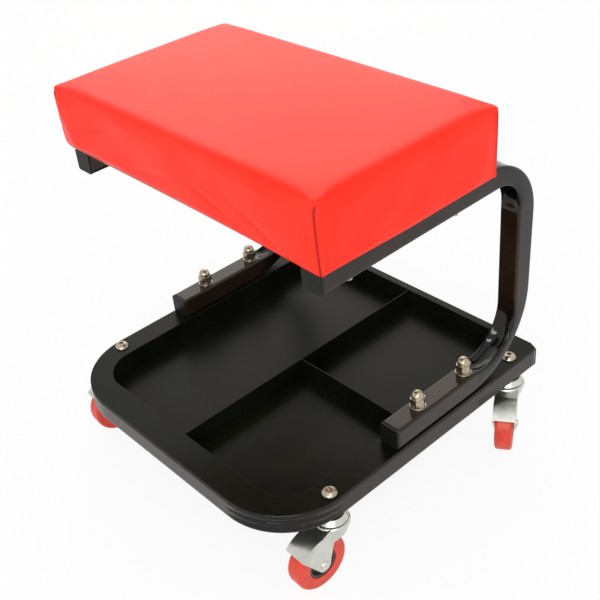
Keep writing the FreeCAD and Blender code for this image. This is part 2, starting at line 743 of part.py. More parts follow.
def baseOutline(offset, reach):
    # The U shape seen from above, open to the rear.
    width = baseHalfWidth - offset
    front = -baseFront + offset
    rear = baseRear - plugHead + reach
    inner = baseHalfWidth - tubeSize + offset
    innerFront = -baseFront + tubeSize - offset
    bend = baseBend - offset
    innerBend = baseBend - tubeSize + offset
    straight = baseHalfWidth - baseBend
    bendLine = -baseFront + baseBend
    return [
        (-width, rear),
        (-width, bendLine, bend, 1),
        (-straight, front),
        (straight, front, bend, 1),
        (width, bendLine),
        (width, rear),
        (inner, rear),
        (inner, bendLine, innerBend, -1),
        (straight, innerFront),
        (-straight, innerFront, innerBend, -1),
        (-inner, bendLine),
        (-inner, rear),
    ]


def baseTube():
    body = newBody("base_tube")
    outline = newSketch(body, "XY_Plane", casterRise)
    drawOutline(outline, baseOutline(0, 0))
    solid = pad(body, outline, tubeSize)
    levels = (casterRise.value, tubeTop.value)
    end = baseRear.value - plugHead.value

    def isLongEdge(edge):
        places = [vertex.Point for vertex in edge.Vertexes]
        level = any(all(close(place.z, height) for place in places) for height in levels)
        return level and not all(close(place.y, end) for place in places)

    filletEdges(body, solid, tubeEdge, isLongEdge)
    hollow = newSketch(body, "XY_Plane", casterRise + tubeWall)
    drawOutline(hollow, baseOutline(tubeWall, cutOverrun))
    pocket(body, hollow, tubeSize - 2 * tubeWall, upward=True)
    places = [place[:2] for place in casterPlaces.values()] + legBoltPlaces
    drill(body, places, boltRadius + boltPlay, casterRise + tubeSize / 2, tubeSize + cutOverrun)
    return body


def tubePlug(name, across, along, up, angle):
    # A cap with a square foot that fits inside the tube. It is drawn with its cap towards -Y.
    body = newBody(name)
    half = tubeSize / 2
    flat = half - tubeEdge
    cap = newSketch(body, "XZ_Plane")
    drawOutline(cap, [
        (-flat, -half),
        (flat, -half, tubeEdge, 1),
        (half, -flat),
        (half, flat, tubeEdge, 1),
        (flat, half),
        (-flat, half, tubeEdge, 1),
        (-half, flat),
        (-half, -flat, tubeEdge, 1),
    ])
    pad(body, cap, plugHead, down=True)
    foot = newSketch(body, "XZ_Plane", -plugHead)
    inside = half - tubeWall - plugPlay
    drawOutline(foot, rectangle(inside, -inside, inside))
    pad(body, foot, plugDepth, down=True)
    return placeAt(body, across, along, up, angle)


def wellOutline(grow):
    # The tray's well seen from above, with round front corners.
    width = wellHalfWidth + grow
    front = -wellFront - grow
    corner = wellCorner + grow
    return [
        (-width, wellRear + grow),
        (-width, front + corner, corner, 1),
        (-width + corner, front),
        (width - corner, front, corner, 1),
        (width, front + corner),
        (width, wellRear + grow),
    ]


def tray():
    # A pressed tray whose flange lies on the base tube.
    body = newBody("tray")
    width = baseHalfWidth - flangeInset
    front = -baseFront + flangeInset
    corner = baseBend - flangeInset
    flange = newSketch(body, "XY_Plane", tubeTop)
    drawOutline(flange, [
        (-width + flangeClipAcross, flangeRear),
        (-width, flangeRear - flangeClipDeep),
        (-width, front + corner, corner, 1),
        (-width + corner, front),
        (width - corner, front, corner, 1),
        (width, front + corner),
        (width, flangeRear - flangeClipDeep),
        (width - flangeClipAcross, flangeRear),
    ])
    pad(body, flange, traySheet)
    block = newSketch(body, "XY_Plane", floorLevel - traySheet)
    drawOutline(block, wellOutline(traySheet))
    pad(body, block, wellDepth + traySheet)
    well = newSketch(body, "XY_Plane", flangeTop)
    drawOutline(well, wellOutline(0))
    cut = pocket(body, well, wellDepth)
    top = flangeTop.value

    sideLimit = (wellHalfWidth + traySheet).value
    frontLimit = (-wellFront - traySheet).value
    rearLimit = (wellRear + traySheet).value

    def isWellEdge(edge):
        box = edge.BoundBox
        level = close(box.ZMin, top) and close(box.ZMax, top)
        across = box.XMin > -sideLimit and box.XMax < sideLimit
        return level and across and box.YMin > frontLimit and box.YMax < rearLimit

    filletEdges(body, cut, wellEdge, isWellEdge)
    places = [place[:2] for place in casterPlaces.values()] + legBoltPlaces
    drill(body, places, boltRadius + boltPlay, tubeTop, 2 * traySheet + cutOverrun)
    return body


def longDivider():
    # A folded strip that runs front to back, with its foot welded to the tray floor.
    body = newBody("long_divider")
    rear = wellRear - dividerGap
    profile = newSketch(body, "XZ_Plane", -rear)
    top = flangeTop - dividerDrop
    drawOutline(profile, [
        (dividerPlace - dividerFoot, floorLevel),
        (dividerPlace, floorLevel),
        (dividerPlace, top),
        (dividerPlace - dividerSheet, top),
        (dividerPlace - dividerSheet, floorLevel + dividerSheet),
        (dividerPlace - dividerFoot, floorLevel + dividerSheet),
    ])
    pad(body, profile, rear + wellFront - dividerGap)
    return body


def crossDivider():
    # A folded strip from the long divider to the right wall.
    body = newBody("cross_divider")
    profile = newSketch(body, "YZ_Plane", dividerPlace)
    top = flangeTop - dividerDrop
    face = crossPlace - dividerSheet
    drawOutline(profile, [
        (face, floorLevel),
        (face + dividerFoot, floorLevel),
        (face + dividerFoot, floorLevel + dividerSheet),
        (crossPlace, floorLevel + dividerSheet),
        (crossPlace, top),
        (face, top),
    ])
    pad(body, profile, wellHalfWidth - dividerGap - dividerPlace)
    return body


def casterBolt(name, across, along):
    # A button-head socket bolt that points down through the tray, the tube and the caster.
    body = newBody(name)
    end = lowerRaceUnder - casterNutHeight
    profile = newSketch(body, "XZ_Plane")
    drawOutline(profile, [
        (0, end),
        (boltRadius, end),
        (boltRadius, flangeTop),
        (buttonRadius, flangeTop),
        (buttonRadius, flangeTop + buttonRim, buttonRadius, 1),
        (buttonTop, flangeTop + buttonHeight),
        (0, flangeTop + buttonHeight),
    ])
    revolve(body, profile, "V_Axis")
    socket = newSketch(body, "XY_Plane", flangeTop + buttonHeight)
    drawOutline(socket, hexagon(socketAcross))
    pocket(body, socket, socketDepth)
    return placeAt(body, across, along)


def casterCup(name, across, along):
    # The fixed upper race, a pressed cup under the tube.
    hole = boltRadius + boltPlay
    roof = casterRise - cupSheet
    rim = casterRise - cupDepth
    points = [
        (hole, roof),
        (cupTopRadius, roof),
        (cupRimRadius - cupSheet, rim),
        (cupRimRadius, rim),
        (cupTopRadius, casterRise),
        (hole, casterRise),
    ]
    return placeAt(turned(name, points), across, along)


def casterBalls(name, across, along, angle):
    # Two rings of balls, above and below the yoke's race plate.
    rings = [
        (ballCount, ballCircle, ballRadius, yokeTop + ballRadius),
        (smallBallCount, smallBallCircle, smallBallRadius, yokeUnder - smallBallRadius),
    ]
    items = []
    for count, circle, radius, level in rings:
        for index in range(int(count.value)):
            turn = 2 * math.pi * index / int(count.value)
            ball = doc.addObject("Part::Sphere", "ball")
            bind(ball, "Radius", radius)
            items.append(placeAt(ball, circle * math.cos(turn), circle * math.sin(turn), level))
    return placeAt(group(name, items), across, along, 0, angle)


def yoke(name, across, along, angle):
    # A pressed fork with a hood over the wheel and a bell skirt under the race plate. It trails
    # towards +X before it is turned to its place.
    body = newBody(name)
    tipAcross = trail + hoodRadius * cosine(hoodAngle)
    tipUp = wheelRadius + hoodRadius * sine(hoodAngle)
    lugAcross = trail + lugRadius * cosine(lugAngle)
    lugUp = wheelRadius - lugRadius * sine(lugAngle)
    sides = newSketch(body, "XZ_Plane")
    drawOutline(sides, [
        (-yokeFront, yokeTop),
        (yokeFlat, yokeTop),
        (trail, wheelRadius + hoodRadius, hoodRadius, -1),
        (tipAcross, tipUp),
        (lugAcross, lugUp, lugRadius, -1),
        (trail - lugRadius, wheelRadius),
        (yokeWaistEnd, yokeTop - yokeWaist),
        (0, yokeTop - yokeWaist),
        (-yokeFront, yokeTop - yokeShoulder),
    ])
    pad(body, sides, yokeWidth, symmetric=True)
    innerRadius = hoodRadius - yokeSheet
    reach = trail + hoodRadius + cutOverrun
    space = newSketch(body, "XZ_Plane")
    drawOutline(space, [
        (-yokeFront - cutOverrun, yokeUnder),
        (yokeFlat, yokeUnder),
        (trail, wheelRadius + innerRadius, innerRadius, -1),
        (trail + innerRadius * cosine(hoodCutAngle), wheelRadius + innerRadius * sine(hoodCutAngle)),
        (reach, wheelRadius),
        (reach, wheelRadius - lugRadius - cutOverrun),
        (-yokeFront - cutOverrun, wheelRadius - lugRadius - cutOverrun),
    ])
    pocket(body, space, yokeInside, symmetric=True)
    bell = newSketch(body, "XZ_Plane")
    foot = yokeTop - yokeSkirtDrop
    drawOutline(bell, [
        (yokeHoleRadius, yokeUnder),
        (yokePlateRadius - yokeSheet, yokeUnder),
        (yokeSkirtRadius - yokeSheet, foot),
        (yokeSkirtRadius, foot),
        (yokePlateRadius, yokeTop - yokePlateRoll, yokePlateRoll, 1),
        (yokePlateRadius - yokePlateRoll, yokeTop),
        (yokeHoleRadius, yokeTop),
    ])
    revolve(body, bell, "V_Axis")
    clearance = newSketch(body, "XZ_Plane")
    drawCircle(clearance, trail, wheelRadius, innerRadius)
    pocket(body, clearance, yokeInside, symmetric=True)
    drill(body, [(0, 0)], yokeHoleRadius, yokeTop, 2 * yokeSheet + cutOverrun)
    holes = newSketch(body, "XZ_Plane")
    drawCircle(holes, trail, wheelRadius, axleRadius + threadPlay)
    pocket(body, holes, yokeWidth + cutOverrun, symmetric=True)
    return placeAt(body, across, along, 0, angle)


def axleTurned(name, points, across, along, angle):
    # A piece turned about the axle: (radius, place along the axle) points.
    body = newBody(name)
    sketch = newSketch(body, "XY_Plane", wheelRadius, trail)
    drawOutline(sketch, points)
    revolve(body, sketch, "V_Axis")
    return placeAt(body, across, along, 0, angle)


def axle(name, across, along, angle):
    # A rivet through both fork ends, with a set head on each side.
    half = yokeWidth / 2
    crown = axleHeadRadius - axleHeadHeight
    outer = half + axleHeadHeight
    points = [
        (0, -outer),
        (crown, -outer, axleHeadHeight, 1),
        (axleHeadRadius, -half),
        (axleRadius, -half),
        (axleRadius, half),
        (axleHeadRadius, half, axleHeadHeight, 1),
        (crown, outer),
        (0, outer),
    ]
    return axleTurned(name, points, across, along, angle)


def axleSleeve(name, across, along, angle):
    inner = axleRadius + threadPlay
    outer = axleRadius + sleeveWall
    half = yokeInside / 2
    points = [(inner, -half), (outer, -half), (outer, half), (inner, half)]
    return axleTurned(name, points, across, along, angle)


def wheelCore(name, across, along, angle):
    # Hub, web and rim in one moulding.
    bore = axleRadius + sleeveWall + runningPlay
    hubHalf = yokeInside / 2 - hubPlay
    webHalf = coreWeb / 2
    rimHalf = coreWidth / 2
    rimInside = coreRadius - coreRim
    half = [(bore, hubHalf), (hubRadius, hubHalf), (hubRadius, webHalf), (rimInside, webHalf)]
    half += [(rimInside, rimHalf), (coreRadius, rimHalf)]
    mirrored = [(radius, -place) for radius, place in reversed(half)]
    return axleTurned(name, half + mirrored, across, along, angle)


def tyre(name, across, along, angle):
    half = tyreWidth / 2
    shoulder = wheelRadius - tyreShoulder
    points = [
        (coreRadius, -half),
        (shoulder, -half, tyreShoulder, 1),
        (wheelRadius, -half + tyreShoulder),
        (wheelRadius, half - tyreShoulder, tyreShoulder, 1),
        (shoulder, half),
        (coreRadius, half),
    ]
    return axleTurned(name, points, across, along, angle)


def fastenerGroup(name, places, make):
    return group(name, [make("%sPiece" % name, across, along) for across, along in places])


def seatParts():
    stapleSet = staples()
    washerTop = upperArmBottom
    washerUnder = upperArmBottom - seatWasherThickness
    boltEnd = boardTop - teeFlangeThickness

    def washer(name, across, along):
        hole = seatBoltRadius + boltPlay
        return ring(name, hole, seatWasherRadius, washerUnder, washerTop, across, along)

    def bolt(name, across, along):
        flats, height = seatBoltHeadAcross, seatBoltHeadHeight
        return hexBolt(name, seatBoltRadius, flats, height, washerUnder, boltEnd, across, along)

    return [
        stapleSet,
        seatCover(stapleSet),
        seatFoam(),
        seatBoard(stapleSet),
        fastenerGroup("seat_tee_nuts", seatBoltPlaces, teeNut),
        fastenerGroup("seat_washers", seatBoltPlaces, washer),
        fastenerGroup("seat_bolts", seatBoltPlaces, bolt),
    ]


def frameParts():
    upperMiddle = seatLevel - tubeSize / 2
    lowerMiddle = flangeTop + tubeSize / 2
    baseMiddle = casterRise + tubeSize / 2
    baseSpread = baseHalfWidth - tubeSize / 2

    def plugPair(name, spread, along, up, angle=None):
        pair = [tubePlug(name + "Piece", side * spread, along, up, angle) for side in (-1, 1)]
        return group(name, pair)

    return [
        leg("leg_left", -1),
        leg("leg_right", 1),
        baseTube(),
        tray(),
        longDivider(),
        crossDivider(),
        plugPair("upper_arm_plugs", legSpread, -upperArmFront, upperMiddle),
        plugPair("lower_arm_plugs", legSpread, -lowerArmFront, lowerMiddle),
        plugPair("base_plugs", baseSpread, baseRear, baseMiddle, halfTurn),
    ]


def legFasteners():
    hole = boltRadius + boltPlay
    headTop = casterRise - washerThickness
    boltEnd = lowerArmTop + washerThickness + springWasherThickness + acornHexHeight

    def lowerWasher(name, across, along):
        return ring(name, hole, washerRadius, headTop, casterRise, across, along)

    def upperWasher(name, across, along):
        return ring(name, hole, washerRadius, lowerArmTop, lowerArmTop + washerThickness, across, along)

    def bolt(name, across, along):
        flats, height = legBoltHeadAcross, legBoltHeadHeight
        return hexBolt(name, boltRadius, flats, height, headTop, boltEnd, across, along)

    return [
        fastenerGroup("leg_bolts", legBoltPlaces, bolt),
        fastenerGroup("leg_bolt_washers", legBoltPlaces, lowerWasher),
        fastenerGroup("leg_flat_washers", legBoltPlaces, upperWasher),
        fastenerGroup("leg_spring_washers", legBoltPlaces, springWasher),
        fastenerGroup("leg_acorn_nuts", legBoltPlaces, acornNut),
    ]


def casterFixings():
    places = [place[:2] for place in casterPlaces.values()]

    def sleeve(name, across, along):
        roof = casterRise - cupSheet
        return ring(name, boltRadius + threadPlay, sleeveRadius, lowerRaceTop, roof, across, along)

    def lowerRace(name, across, along):
        hole = boltRadius + boltPlay
        return ring(name, hole, lowerRaceRadius, lowerRaceUnder, lowerRaceTop, across, along)

    def nut(name, across, along):
        bottom = lowerRaceUnder - casterNutHeight
        return hexNut(name, across, along, casterNutAcross, bottom, casterNutHeight)

    return [
        fastenerGroup("caster_bolts", places, casterBolt),
        fastenerGroup("caster_cups", places, casterCup),
        fastenerGroup("caster_king_sleeves", places, sleeve),
        fastenerGroup("caster_lower_races", places, lowerRace),
        fastenerGroup("caster_nuts", places, nut),
    ]


def casterParts():
    kinds = {
        "balls": casterBalls,
        "yoke": yoke,
        "axle": axle,
        "axle_sleeve": axleSleeve,
        "wheel_core": wheelCore,
        "tyre": tyre,
    }
    parts = []
    for corner, (across, along, angle) in casterPlaces.items():
        for kind, make in kinds.items():
            parts.append(make("%s_%s" % (corner, kind), across, along, angle))
    return parts


nodes = seatParts() + frameParts() + legFasteners() + casterFixings() + casterParts()
doc.recompute()
for item in doc.Objects:
    if "Invalid" in item.State or "Error" in item.State:
        raise ValueError("%s did not compute" % item.Label)
for node in nodes:
    if node.Shape.isNull() or not node.Shape.isValid():
        raise ValueError("%s has no valid shape" % node.Label)
os.makedirs("parts", exist_ok=True)
for node in nodes:
    node.Shape.exportStep("parts/%s.step" % node.Label)
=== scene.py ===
import math

import bmesh
import bpy
import numpy as np
from mathutils import Matrix, Vector


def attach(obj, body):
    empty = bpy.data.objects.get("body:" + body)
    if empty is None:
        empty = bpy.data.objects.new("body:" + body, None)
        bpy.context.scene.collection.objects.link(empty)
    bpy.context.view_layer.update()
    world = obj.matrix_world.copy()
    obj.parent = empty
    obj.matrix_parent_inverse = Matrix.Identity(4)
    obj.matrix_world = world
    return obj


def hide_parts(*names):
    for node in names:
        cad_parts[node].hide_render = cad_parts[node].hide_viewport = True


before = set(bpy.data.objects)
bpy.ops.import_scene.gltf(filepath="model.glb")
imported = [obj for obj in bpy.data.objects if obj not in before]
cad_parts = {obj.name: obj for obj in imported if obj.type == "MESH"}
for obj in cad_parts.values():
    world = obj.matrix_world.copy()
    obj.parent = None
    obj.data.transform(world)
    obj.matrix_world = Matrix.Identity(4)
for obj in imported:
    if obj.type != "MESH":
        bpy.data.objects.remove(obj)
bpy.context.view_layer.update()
print("frame loaded:", len(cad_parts), "nodes")

mm = 0.001
corners = ("front_left", "front_right", "rear_left", "rear_right")


# small helpers

def toLinear(text):
    # sRGB hex to the linear colour that a shader takes
    channels = [int(text[i:i + 2], 16) / 255 for i in (1, 3, 5)]
    return [c / 12.92 if c <= 0.04045 else ((c + 0.055) / 1.055) ** 2.4 for c in channels] + [1]


def perMetre(millimetres):
    # pattern scale whose feature is this many millimetres across
    return 1 / (millimetres * mm)


def fillInputs(tree, node, inputs):
    # each input takes a link, a hex colour or a plain value
    for name, value in inputs.items():
        if isinstance(value, bpy.types.NodeSocket):
            tree.links.new(value, node.inputs[name])
        else:
            node.inputs[name].default_value = toLinear(value) if isinstance(value, str) else value


def addNode(tree, kind, settings=None, inputs=None):
    # adds a node with its settings, the stops of its colour ramp, and its inputs
    node = tree.nodes.new(kind)
    for name, value in (settings or {}).items():
        if name == "stops":
            while len(node.color_ramp.elements) < len(value):
                node.color_ramp.elements.new(1)
            for element, (place, shade) in zip(node.color_ramp.elements, value):
                element.position = place
                element.color = toLinear(shade)
        else:
            setattr(node, name, value)
    fillInputs(tree, node, inputs or {})
    return node


def newMaterial(name):
    # the patterns lie in the object's own coordinates, in metres
    material = bpy.data.materials.new(name)
    material.use_nodes = True
    tree = material.node_tree
    return material, tree, addNode(tree, "ShaderNodeTexCoord").outputs["Object"]


def darkenWhere(tree, attribute, colour, dark):
    # mixes a dark colour of painted shade in by a number that each point of the mesh carries
    share = addNode(tree, "ShaderNodeAttribute", {"attribute_name": attribute})
    mixed = addNode(tree, "ShaderNodeMix", {"data_type": "RGBA"}, {
        "Factor": share.outputs["Fac"], "A": colour, "B": dark})
    return mixed.outputs["Result"]


def finishMaterial(tree, values, colour, wear, height):
    # colour, roughness that the wear moves between two limits, relief, and the plain numbers
    roughness = addNode(tree, "ShaderNodeMapRange", None, {
        "Value": wear, "To Min": values["roughness"][0], "To Max": values["roughness"][1]})
    bump = addNode(tree, "ShaderNodeBump", None, {
        "Height": height, "Strength": values["relief"], "Distance": values["reliefMm"] * mm})
    fillInputs(tree, tree.nodes["Principled BSDF"], {
        "Base Color": colour, "Roughness": roughness.outputs[0],
        "Normal": bump.outputs["Normal"], **values["shader"]})


def setMaterial(names, material):
    for name in names:
        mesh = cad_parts[name].data
        mesh.materials.clear()
        mesh.materials.append(material)


# materials

# PVC upholstery vinyl, calendered and embossed with a fine leather print: a soft broad sheen, a
# faint mottle, and painted shade as dark lines in its folds and along its turned-under foot
vinyl = {
    "stops": [(0.3, "#F92610"), (0.52, "#FD2911"), (0.75, "#FE2F17")],
    "crevice": "#820502",
    "mottle": {"Scale": perMetre(60), "Detail": 4, "Roughness": 0.55},
    "rub": {"Scale": perMetre(70), "Detail": 5, "Roughness": 0.6, "Distortion": 0.4},
    # the print's cells, with valleys along their edges that take up this share of a cell
    "cells": {"Scale": perMetre(1.1), "Randomness": 0.9},
    "valleyShare": 0.16,
    # the backing cloth that shows through the film
    "cloth": {"Scale": perMetre(0.55), "Detail": 2},
    "clothShare": 0.35,
    "roughness": (0.34, 0.42), "relief": 0.16, "reliefMm": 0.12,
    "shader": {"IOR": 1.5, "Specular IOR Level": 0.21},
}


def makeVinyl(name, values):
    material, tree, place = newMaterial(name)
    mottle = addNode(tree, "ShaderNodeTexNoise", None, {"Vector": place, **values["mottle"]})
    rub = addNode(tree, "ShaderNodeTexNoise", None, {"Vector": place, **values["rub"]})
    cloth = addNode(tree, "ShaderNodeTexNoise", None, {"Vector": place, **values["cloth"]})
    shade = addNode(tree, "ShaderNodeValToRGB", {"stops": values["stops"]}, {
        "Fac": mottle.outputs["Fac"]})
    cells = addNode(tree, "ShaderNodeTexVoronoi", {"feature": "DISTANCE_TO_EDGE"}, {
        "Vector": place, **values["cells"]})
    valleys = addNode(tree, "ShaderNodeMapRange", None, {
        "Value": cells.outputs["Distance"], "From Max": values["valleyShare"]})
    height = addNode(tree, "ShaderNodeMath", {"operation": "MULTIPLY_ADD"}, {
        0: cloth.outputs["Fac"], 1: values["clothShare"], 2: valleys.outputs[0]})
    # painted shade: the folds and the turned-under foot are darkened, standing in for the shadow in
    # them
    colour = darkenWhere(tree, "crevice", shade.outputs["Color"], values["crevice"])
    finishMaterial(tree, values, colour, rub.outputs["Fac"], height.outputs[0])
    return material


# powder coat baked on bent steel tube: near-black with a brown cast, glossy, with faint orange
# peel and duller patches. the bends are made blacker by painted shade, which stands in for the
# dark reflections in them
gloss = {
    "stops": [(0.35, "#1E140D"), (0.7, "#281C14")], "bend": "#070706",
    "tone": {"Scale": perMetre(34), "Detail": 6, "Roughness": 0.62, "Distortion": 0.3},
    "grain": {"Scale": perMetre(2.6), "Detail": 2, "Roughness": 0.45},
    "roughness": (0.07, 0.15), "relief": 0.5, "reliefMm": 0.012,
    "shader": {"IOR": 1.5, "Specular IOR Level": 0.32},
}

# thinner satin powder coat on the pressed tray: grey-green black, softer light, handling marks
satin = {
    "stops": [(0.35, "#0B0D07"), (0.7, "#14160E")],
    "tone": {"Scale": perMetre(55), "Detail": 6, "Roughness": 0.62, "Distortion": 0.3},
    "grain": {"Scale": perMetre(1.2), "Detail": 2, "Roughness": 0.45},
    "roughness": (0.24, 0.4), "relief": 0.5, "reliefMm": 0.01,
    "shader": {"IOR": 1.5, "Specular IOR Level": 0.1},
}

# cast polyurethane tread: waxy red-orange, finely grained, with patches of floor dust
tread = {
    "stops": [(0.28, "#B93824"), (0.45, "#D33922"), (0.62, "#DF4029")],
    "tone": {"Scale": perMetre(7), "Detail": 5, "Roughness": 0.6},
    "grain": {"Scale": perMetre(0.6), "Detail": 3, "Roughness": 0.6},
    "roughness": (0.3, 0.5), "relief": 0.3, "reliefMm": 0.05,
    "shader": {"IOR": 1.49},
}

# injection moulded polypropylene wheel core: dark grey and dull, with a spark-eroded grain
corePlastic = {
    "stops": [(0.35, "#3C3F3B"), (0.7, "#4B4E49")],
    "tone": {"Scale": perMetre(12), "Detail": 4},
    "grain": {"Scale": perMetre(0.5), "Detail": 2, "Roughness": 0.7},
    "roughness": (0.45, 0.6), "relief": 0.4, "reliefMm": 0.04,
    "shader": {"IOR": 1.46, "Specular IOR Level": 0.4},
}

# injection moulded polyethylene tube plug: black, a little smoother, with a coarser grain
plugPlastic = {
    "stops": [(0.35, "#10110E"), (0.7, "#181916")],
    "tone": {"Scale": perMetre(12), "Detail": 4},
    "grain": {"Scale": perMetre(0.6), "Detail": 2, "Roughness": 0.7},
    "roughness": (0.34, 0.5), "relief": 0.4, "reliefMm": 0.04,
    "shader": {"IOR": 1.46, "Specular IOR Level": 0.16},
}

# rotary-cut poplar plywood, sanded: long pale grain along X and open pores
plywood = {
    "stops": [(0.3, "#A57B4B"), (0.62, "#C9A272")], "stretch": (0.06, 1, 1),
    "tone": {"Scale": perMetre(6.6), "Detail": 6, "Roughness": 0.6, "Distortion": 1.2},
    "grain": {"Scale": perMetre(0.5), "Detail": 2},
    "roughness": (0.55, 0.75), "relief": 0.4, "reliefMm": 0.1,
    "shader": {},
}


def makeGrained(name, values):
    # broad patches of tone that also move the roughness, and a fine grain
    material, tree, place = newMaterial(name)
    if "stretch" in values:
        place = addNode(tree, "ShaderNodeMapping", None, {
            "Vector": place, "Scale": values["stretch"]}).outputs["Vector"]
    tone = addNode(tree, "ShaderNodeTexNoise", None, {"Vector": place, **values["tone"]})
    grain = addNode(tree, "ShaderNodeTexNoise", None, {"Vector": place, **values["grain"]})
    shade = addNode(tree, "ShaderNodeValToRGB", {"stops": values["stops"]}, {
        "Fac": tone.outputs["Fac"]})
    colour = shade.outputs["Color"]
    # painted shade: a dark colour where the mesh's bend number says, for the bends' dark
    # reflections
    if "bend" in values:
        colour = darkenWhere(tree, "bend", colour, values["bend"])
    finishMaterial(tree, values, colour, tone.outputs["Fac"], grain.outputs["Fac"])
    return material


# zinc electroplate on pressed steel: pale grey with a soft mirror, slow waves and drawing marks
zinc = {
    "stops": [(0.3, "#B9BCB2"), (0.6, "#D2D3CA")],
    "tone": {"Scale": perMetre(24), "Detail": 4, "Roughness": 0.6, "Distortion": 0.5},
    "wave": {"Scale": perMetre(24), "Detail": 2},
    # fine streaks along the height
    "marks": {"Scale": perMetre(0.7), "Detail": 2},
    "markStretch": (1, 1, 0.12), "markShare": 0.08,
    "roughness": (0.24, 0.33), "relief": 0.35, "reliefMm": 0.02,
    "shader": {"Metallic": 1},
}

# the same plating with a dark grey painted shade on the rounded bends, for their dark reflections
zincPaintedBendShade = dict(zinc, plain="#3E3C39")

# nickel plate on turned and cold-headed fasteners: warmer and duller, with short uneven waves
nickel = {
    "stops": [(0.3, "#8E826F"), (0.6, "#BDB29F")],
    "tone": {"Scale": perMetre(3), "Detail": 4, "Roughness": 0.6, "Distortion": 0.5},
    "wave": {"Scale": perMetre(3), "Detail": 2},
    "marks": {"Scale": perMetre(0.4), "Detail": 2},
    "markStretch": (1, 1, 0.12), "markShare": 0.08,
    "roughness": (0.2, 0.36), "relief": 0.35, "reliefMm": 0.06,
    "shader": {"Metallic": 1},
}


def makePlating(name, values):
    material, tree, place = newMaterial(name)
    tone = addNode(tree, "ShaderNodeTexNoise", None, {"Vector": place, **values["tone"]})
    wave = addNode(tree, "ShaderNodeTexNoise", None, {"Vector": place, **values["wave"]})
    stretched = addNode(tree, "ShaderNodeMapping", None, {
        "Vector": place, "Scale": values["markStretch"]})
    marks = addNode(tree, "ShaderNodeTexNoise", None, {
        "Vector": stretched.outputs["Vector"], **values["marks"]})
    height = addNode(tree, "ShaderNodeMath", {"operation": "MULTIPLY_ADD"}, {
        0: marks.outputs["Fac"], 1: values["markShare"], 2: wave.outputs["Fac"]})
    if "plain" in values:
        colour = values["plain"]
    else:
        colour = addNode(tree, "ShaderNodeValToRGB", {"stops": values["stops"]}, {
            "Fac": tone.outputs["Fac"]}).outputs["Color"]
    finishMaterial(tree, values, colour, tone.outputs["Fac"], height.outputs[0])
    return material


vinylMaterial = makeVinyl("red_pvc_vinyl_embossed", vinyl)
glossMaterial = makeGrained("black_powder_coat_gloss", gloss)
satinMaterial = makeGrained("black_powder_coat_satin", satin)
zincMaterial = makePlating("bright_zinc_plated_pressing", zinc)
paintedBendShadeMaterial = makePlating("zinc_plated_painted_bend_shade", zincPaintedBendShade)
nickelMaterial = makePlating("nickel_plated_fastener", nickel)
treadMaterial = makeGrained("red_polyurethane_cast", tread)
coreMaterial = makeGrained("grey_polypropylene_moulded", corePlastic)
plugMaterial = makeGrained("black_polyethylene_moulded", plugPlastic)
plywoodMaterial = makeGrained("poplar_plywood_sanded", plywood)

setMaterial(["base_tube", "leg_left", "leg_right"], glossMaterial)
setMaterial(["tray", "long_divider", "cross_divider"], satinMaterial)
setMaterial(["upper_arm_plugs", "lower_arm_plugs", "base_plugs"], plugMaterial)
setMaterial(["seat_board"], plywoodMaterial)
setMaterial(["seat_cover", "seat_foam"], vinylMaterial)
setMaterial([
    "seat_staples", "seat_tee_nuts", "seat_washers", "seat_bolts", "leg_bolts",
    "leg_bolt_washers", "leg_flat_washers", "leg_spring_washers", "leg_acorn_nuts",
    "caster_bolts", "caster_king_sleeves", "caster_nuts"], nickelMaterial)
setMaterial(["caster_cups", "caster_lower_races"], zincMaterial)
for corner in corners:
    setMaterial([corner + "_yoke", corner + "_axle"], zincMaterial)
    setMaterial([corner + "_balls", corner + "_axle_sleeve"], nickelMaterial)
    setMaterial([corner + "_wheel_core"], coreMaterial)
    setMaterial([corner + "_tyre"], treadMaterial)
print("materials done")


# pressed and turned edges: a tiny round on each, so that they catch the light
edges = {
    "yoke": 0.8, "sheet": 0.25, "fastener": 0.3, "plug": 0.5,
    "weldMm": 0.01, "angle": 32, "segments": 2,
}


def softenEdges(names, width):
    for name in names:
        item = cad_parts[name]
        joined = item.modifiers.new("joined", "WELD")
        joined.merge_threshold = edges["weldMm"] * mm
        rounded = item.modifiers.new("rounded", "BEVEL")
        rounded.width = width * mm
        rounded.segments = edges["segments"]
        rounded.limit_method = "ANGLE"
        rounded.angle_limit = math.radians(edges["angle"])
        rounded.use_clamp_overlap = True
        evened = item.modifiers.new("evened", "WEIGHTED_NORMAL")
        evened.keep_sharp = False


softenEdges([corner + "_yoke" for corner in corners], edges["yoke"])
for corner in corners:
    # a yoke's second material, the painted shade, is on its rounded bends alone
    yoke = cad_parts[corner + "_yoke"]
    yoke.data.materials.append(paintedBendShadeMaterial)
    yoke.modifiers["rounded"].material = 1
softenEdges(["tray", "long_divider", "cross_divider", "caster_cups"], edges["sheet"])
softenEdges([
    "leg_acorn_nuts", "leg_bolts", "caster_bolts", "leg_flat_washers", "seat_bolts"],
    edges["fastener"])
softenEdges(["upper_arm_plugs", "lower_arm_plugs", "base_plugs"], edges["plug"])
print("edges done")


# meshes

def ringFaces(rows, count):
    # quads between rings of equally many points
    faces = []
    for row in range(rows - 1):
        for index in range(count):
            after = (index + 1) % count
            low, high = row * count, (row + 1) * count
            faces.append((low + index, low + after, high + after, high + index))
    return faces


def closeRing(points, faces, first, count):
    # a fan of triangles over one ring of points
    ring = [first + index for index in range(count)]
    points.append(tuple(np.mean([points[index] for index in ring], axis=0)))
    faces += [(ring[i], ring[(i + 1) % count], len(points) - 1) for i in range(count)]


def meshPiece(name, points, faces, material):
    mesh = bpy.data.meshes.new(name)
    mesh.from_pydata([tuple(point) for point in points], [], faces)
    build = bmesh.new()
    build.from_mesh(mesh)
    bmesh.ops.recalc_face_normals(build, faces=build.faces)
    build.to_mesh(mesh)
    build.free()
    mesh.polygons.foreach_set("use_smooth", [True] * len(mesh.polygons))
    mesh.materials.append(material)
    piece = bpy.data.objects.new(name, mesh)
    bpy.context.scene.collection.objects.link(piece)
    return piece


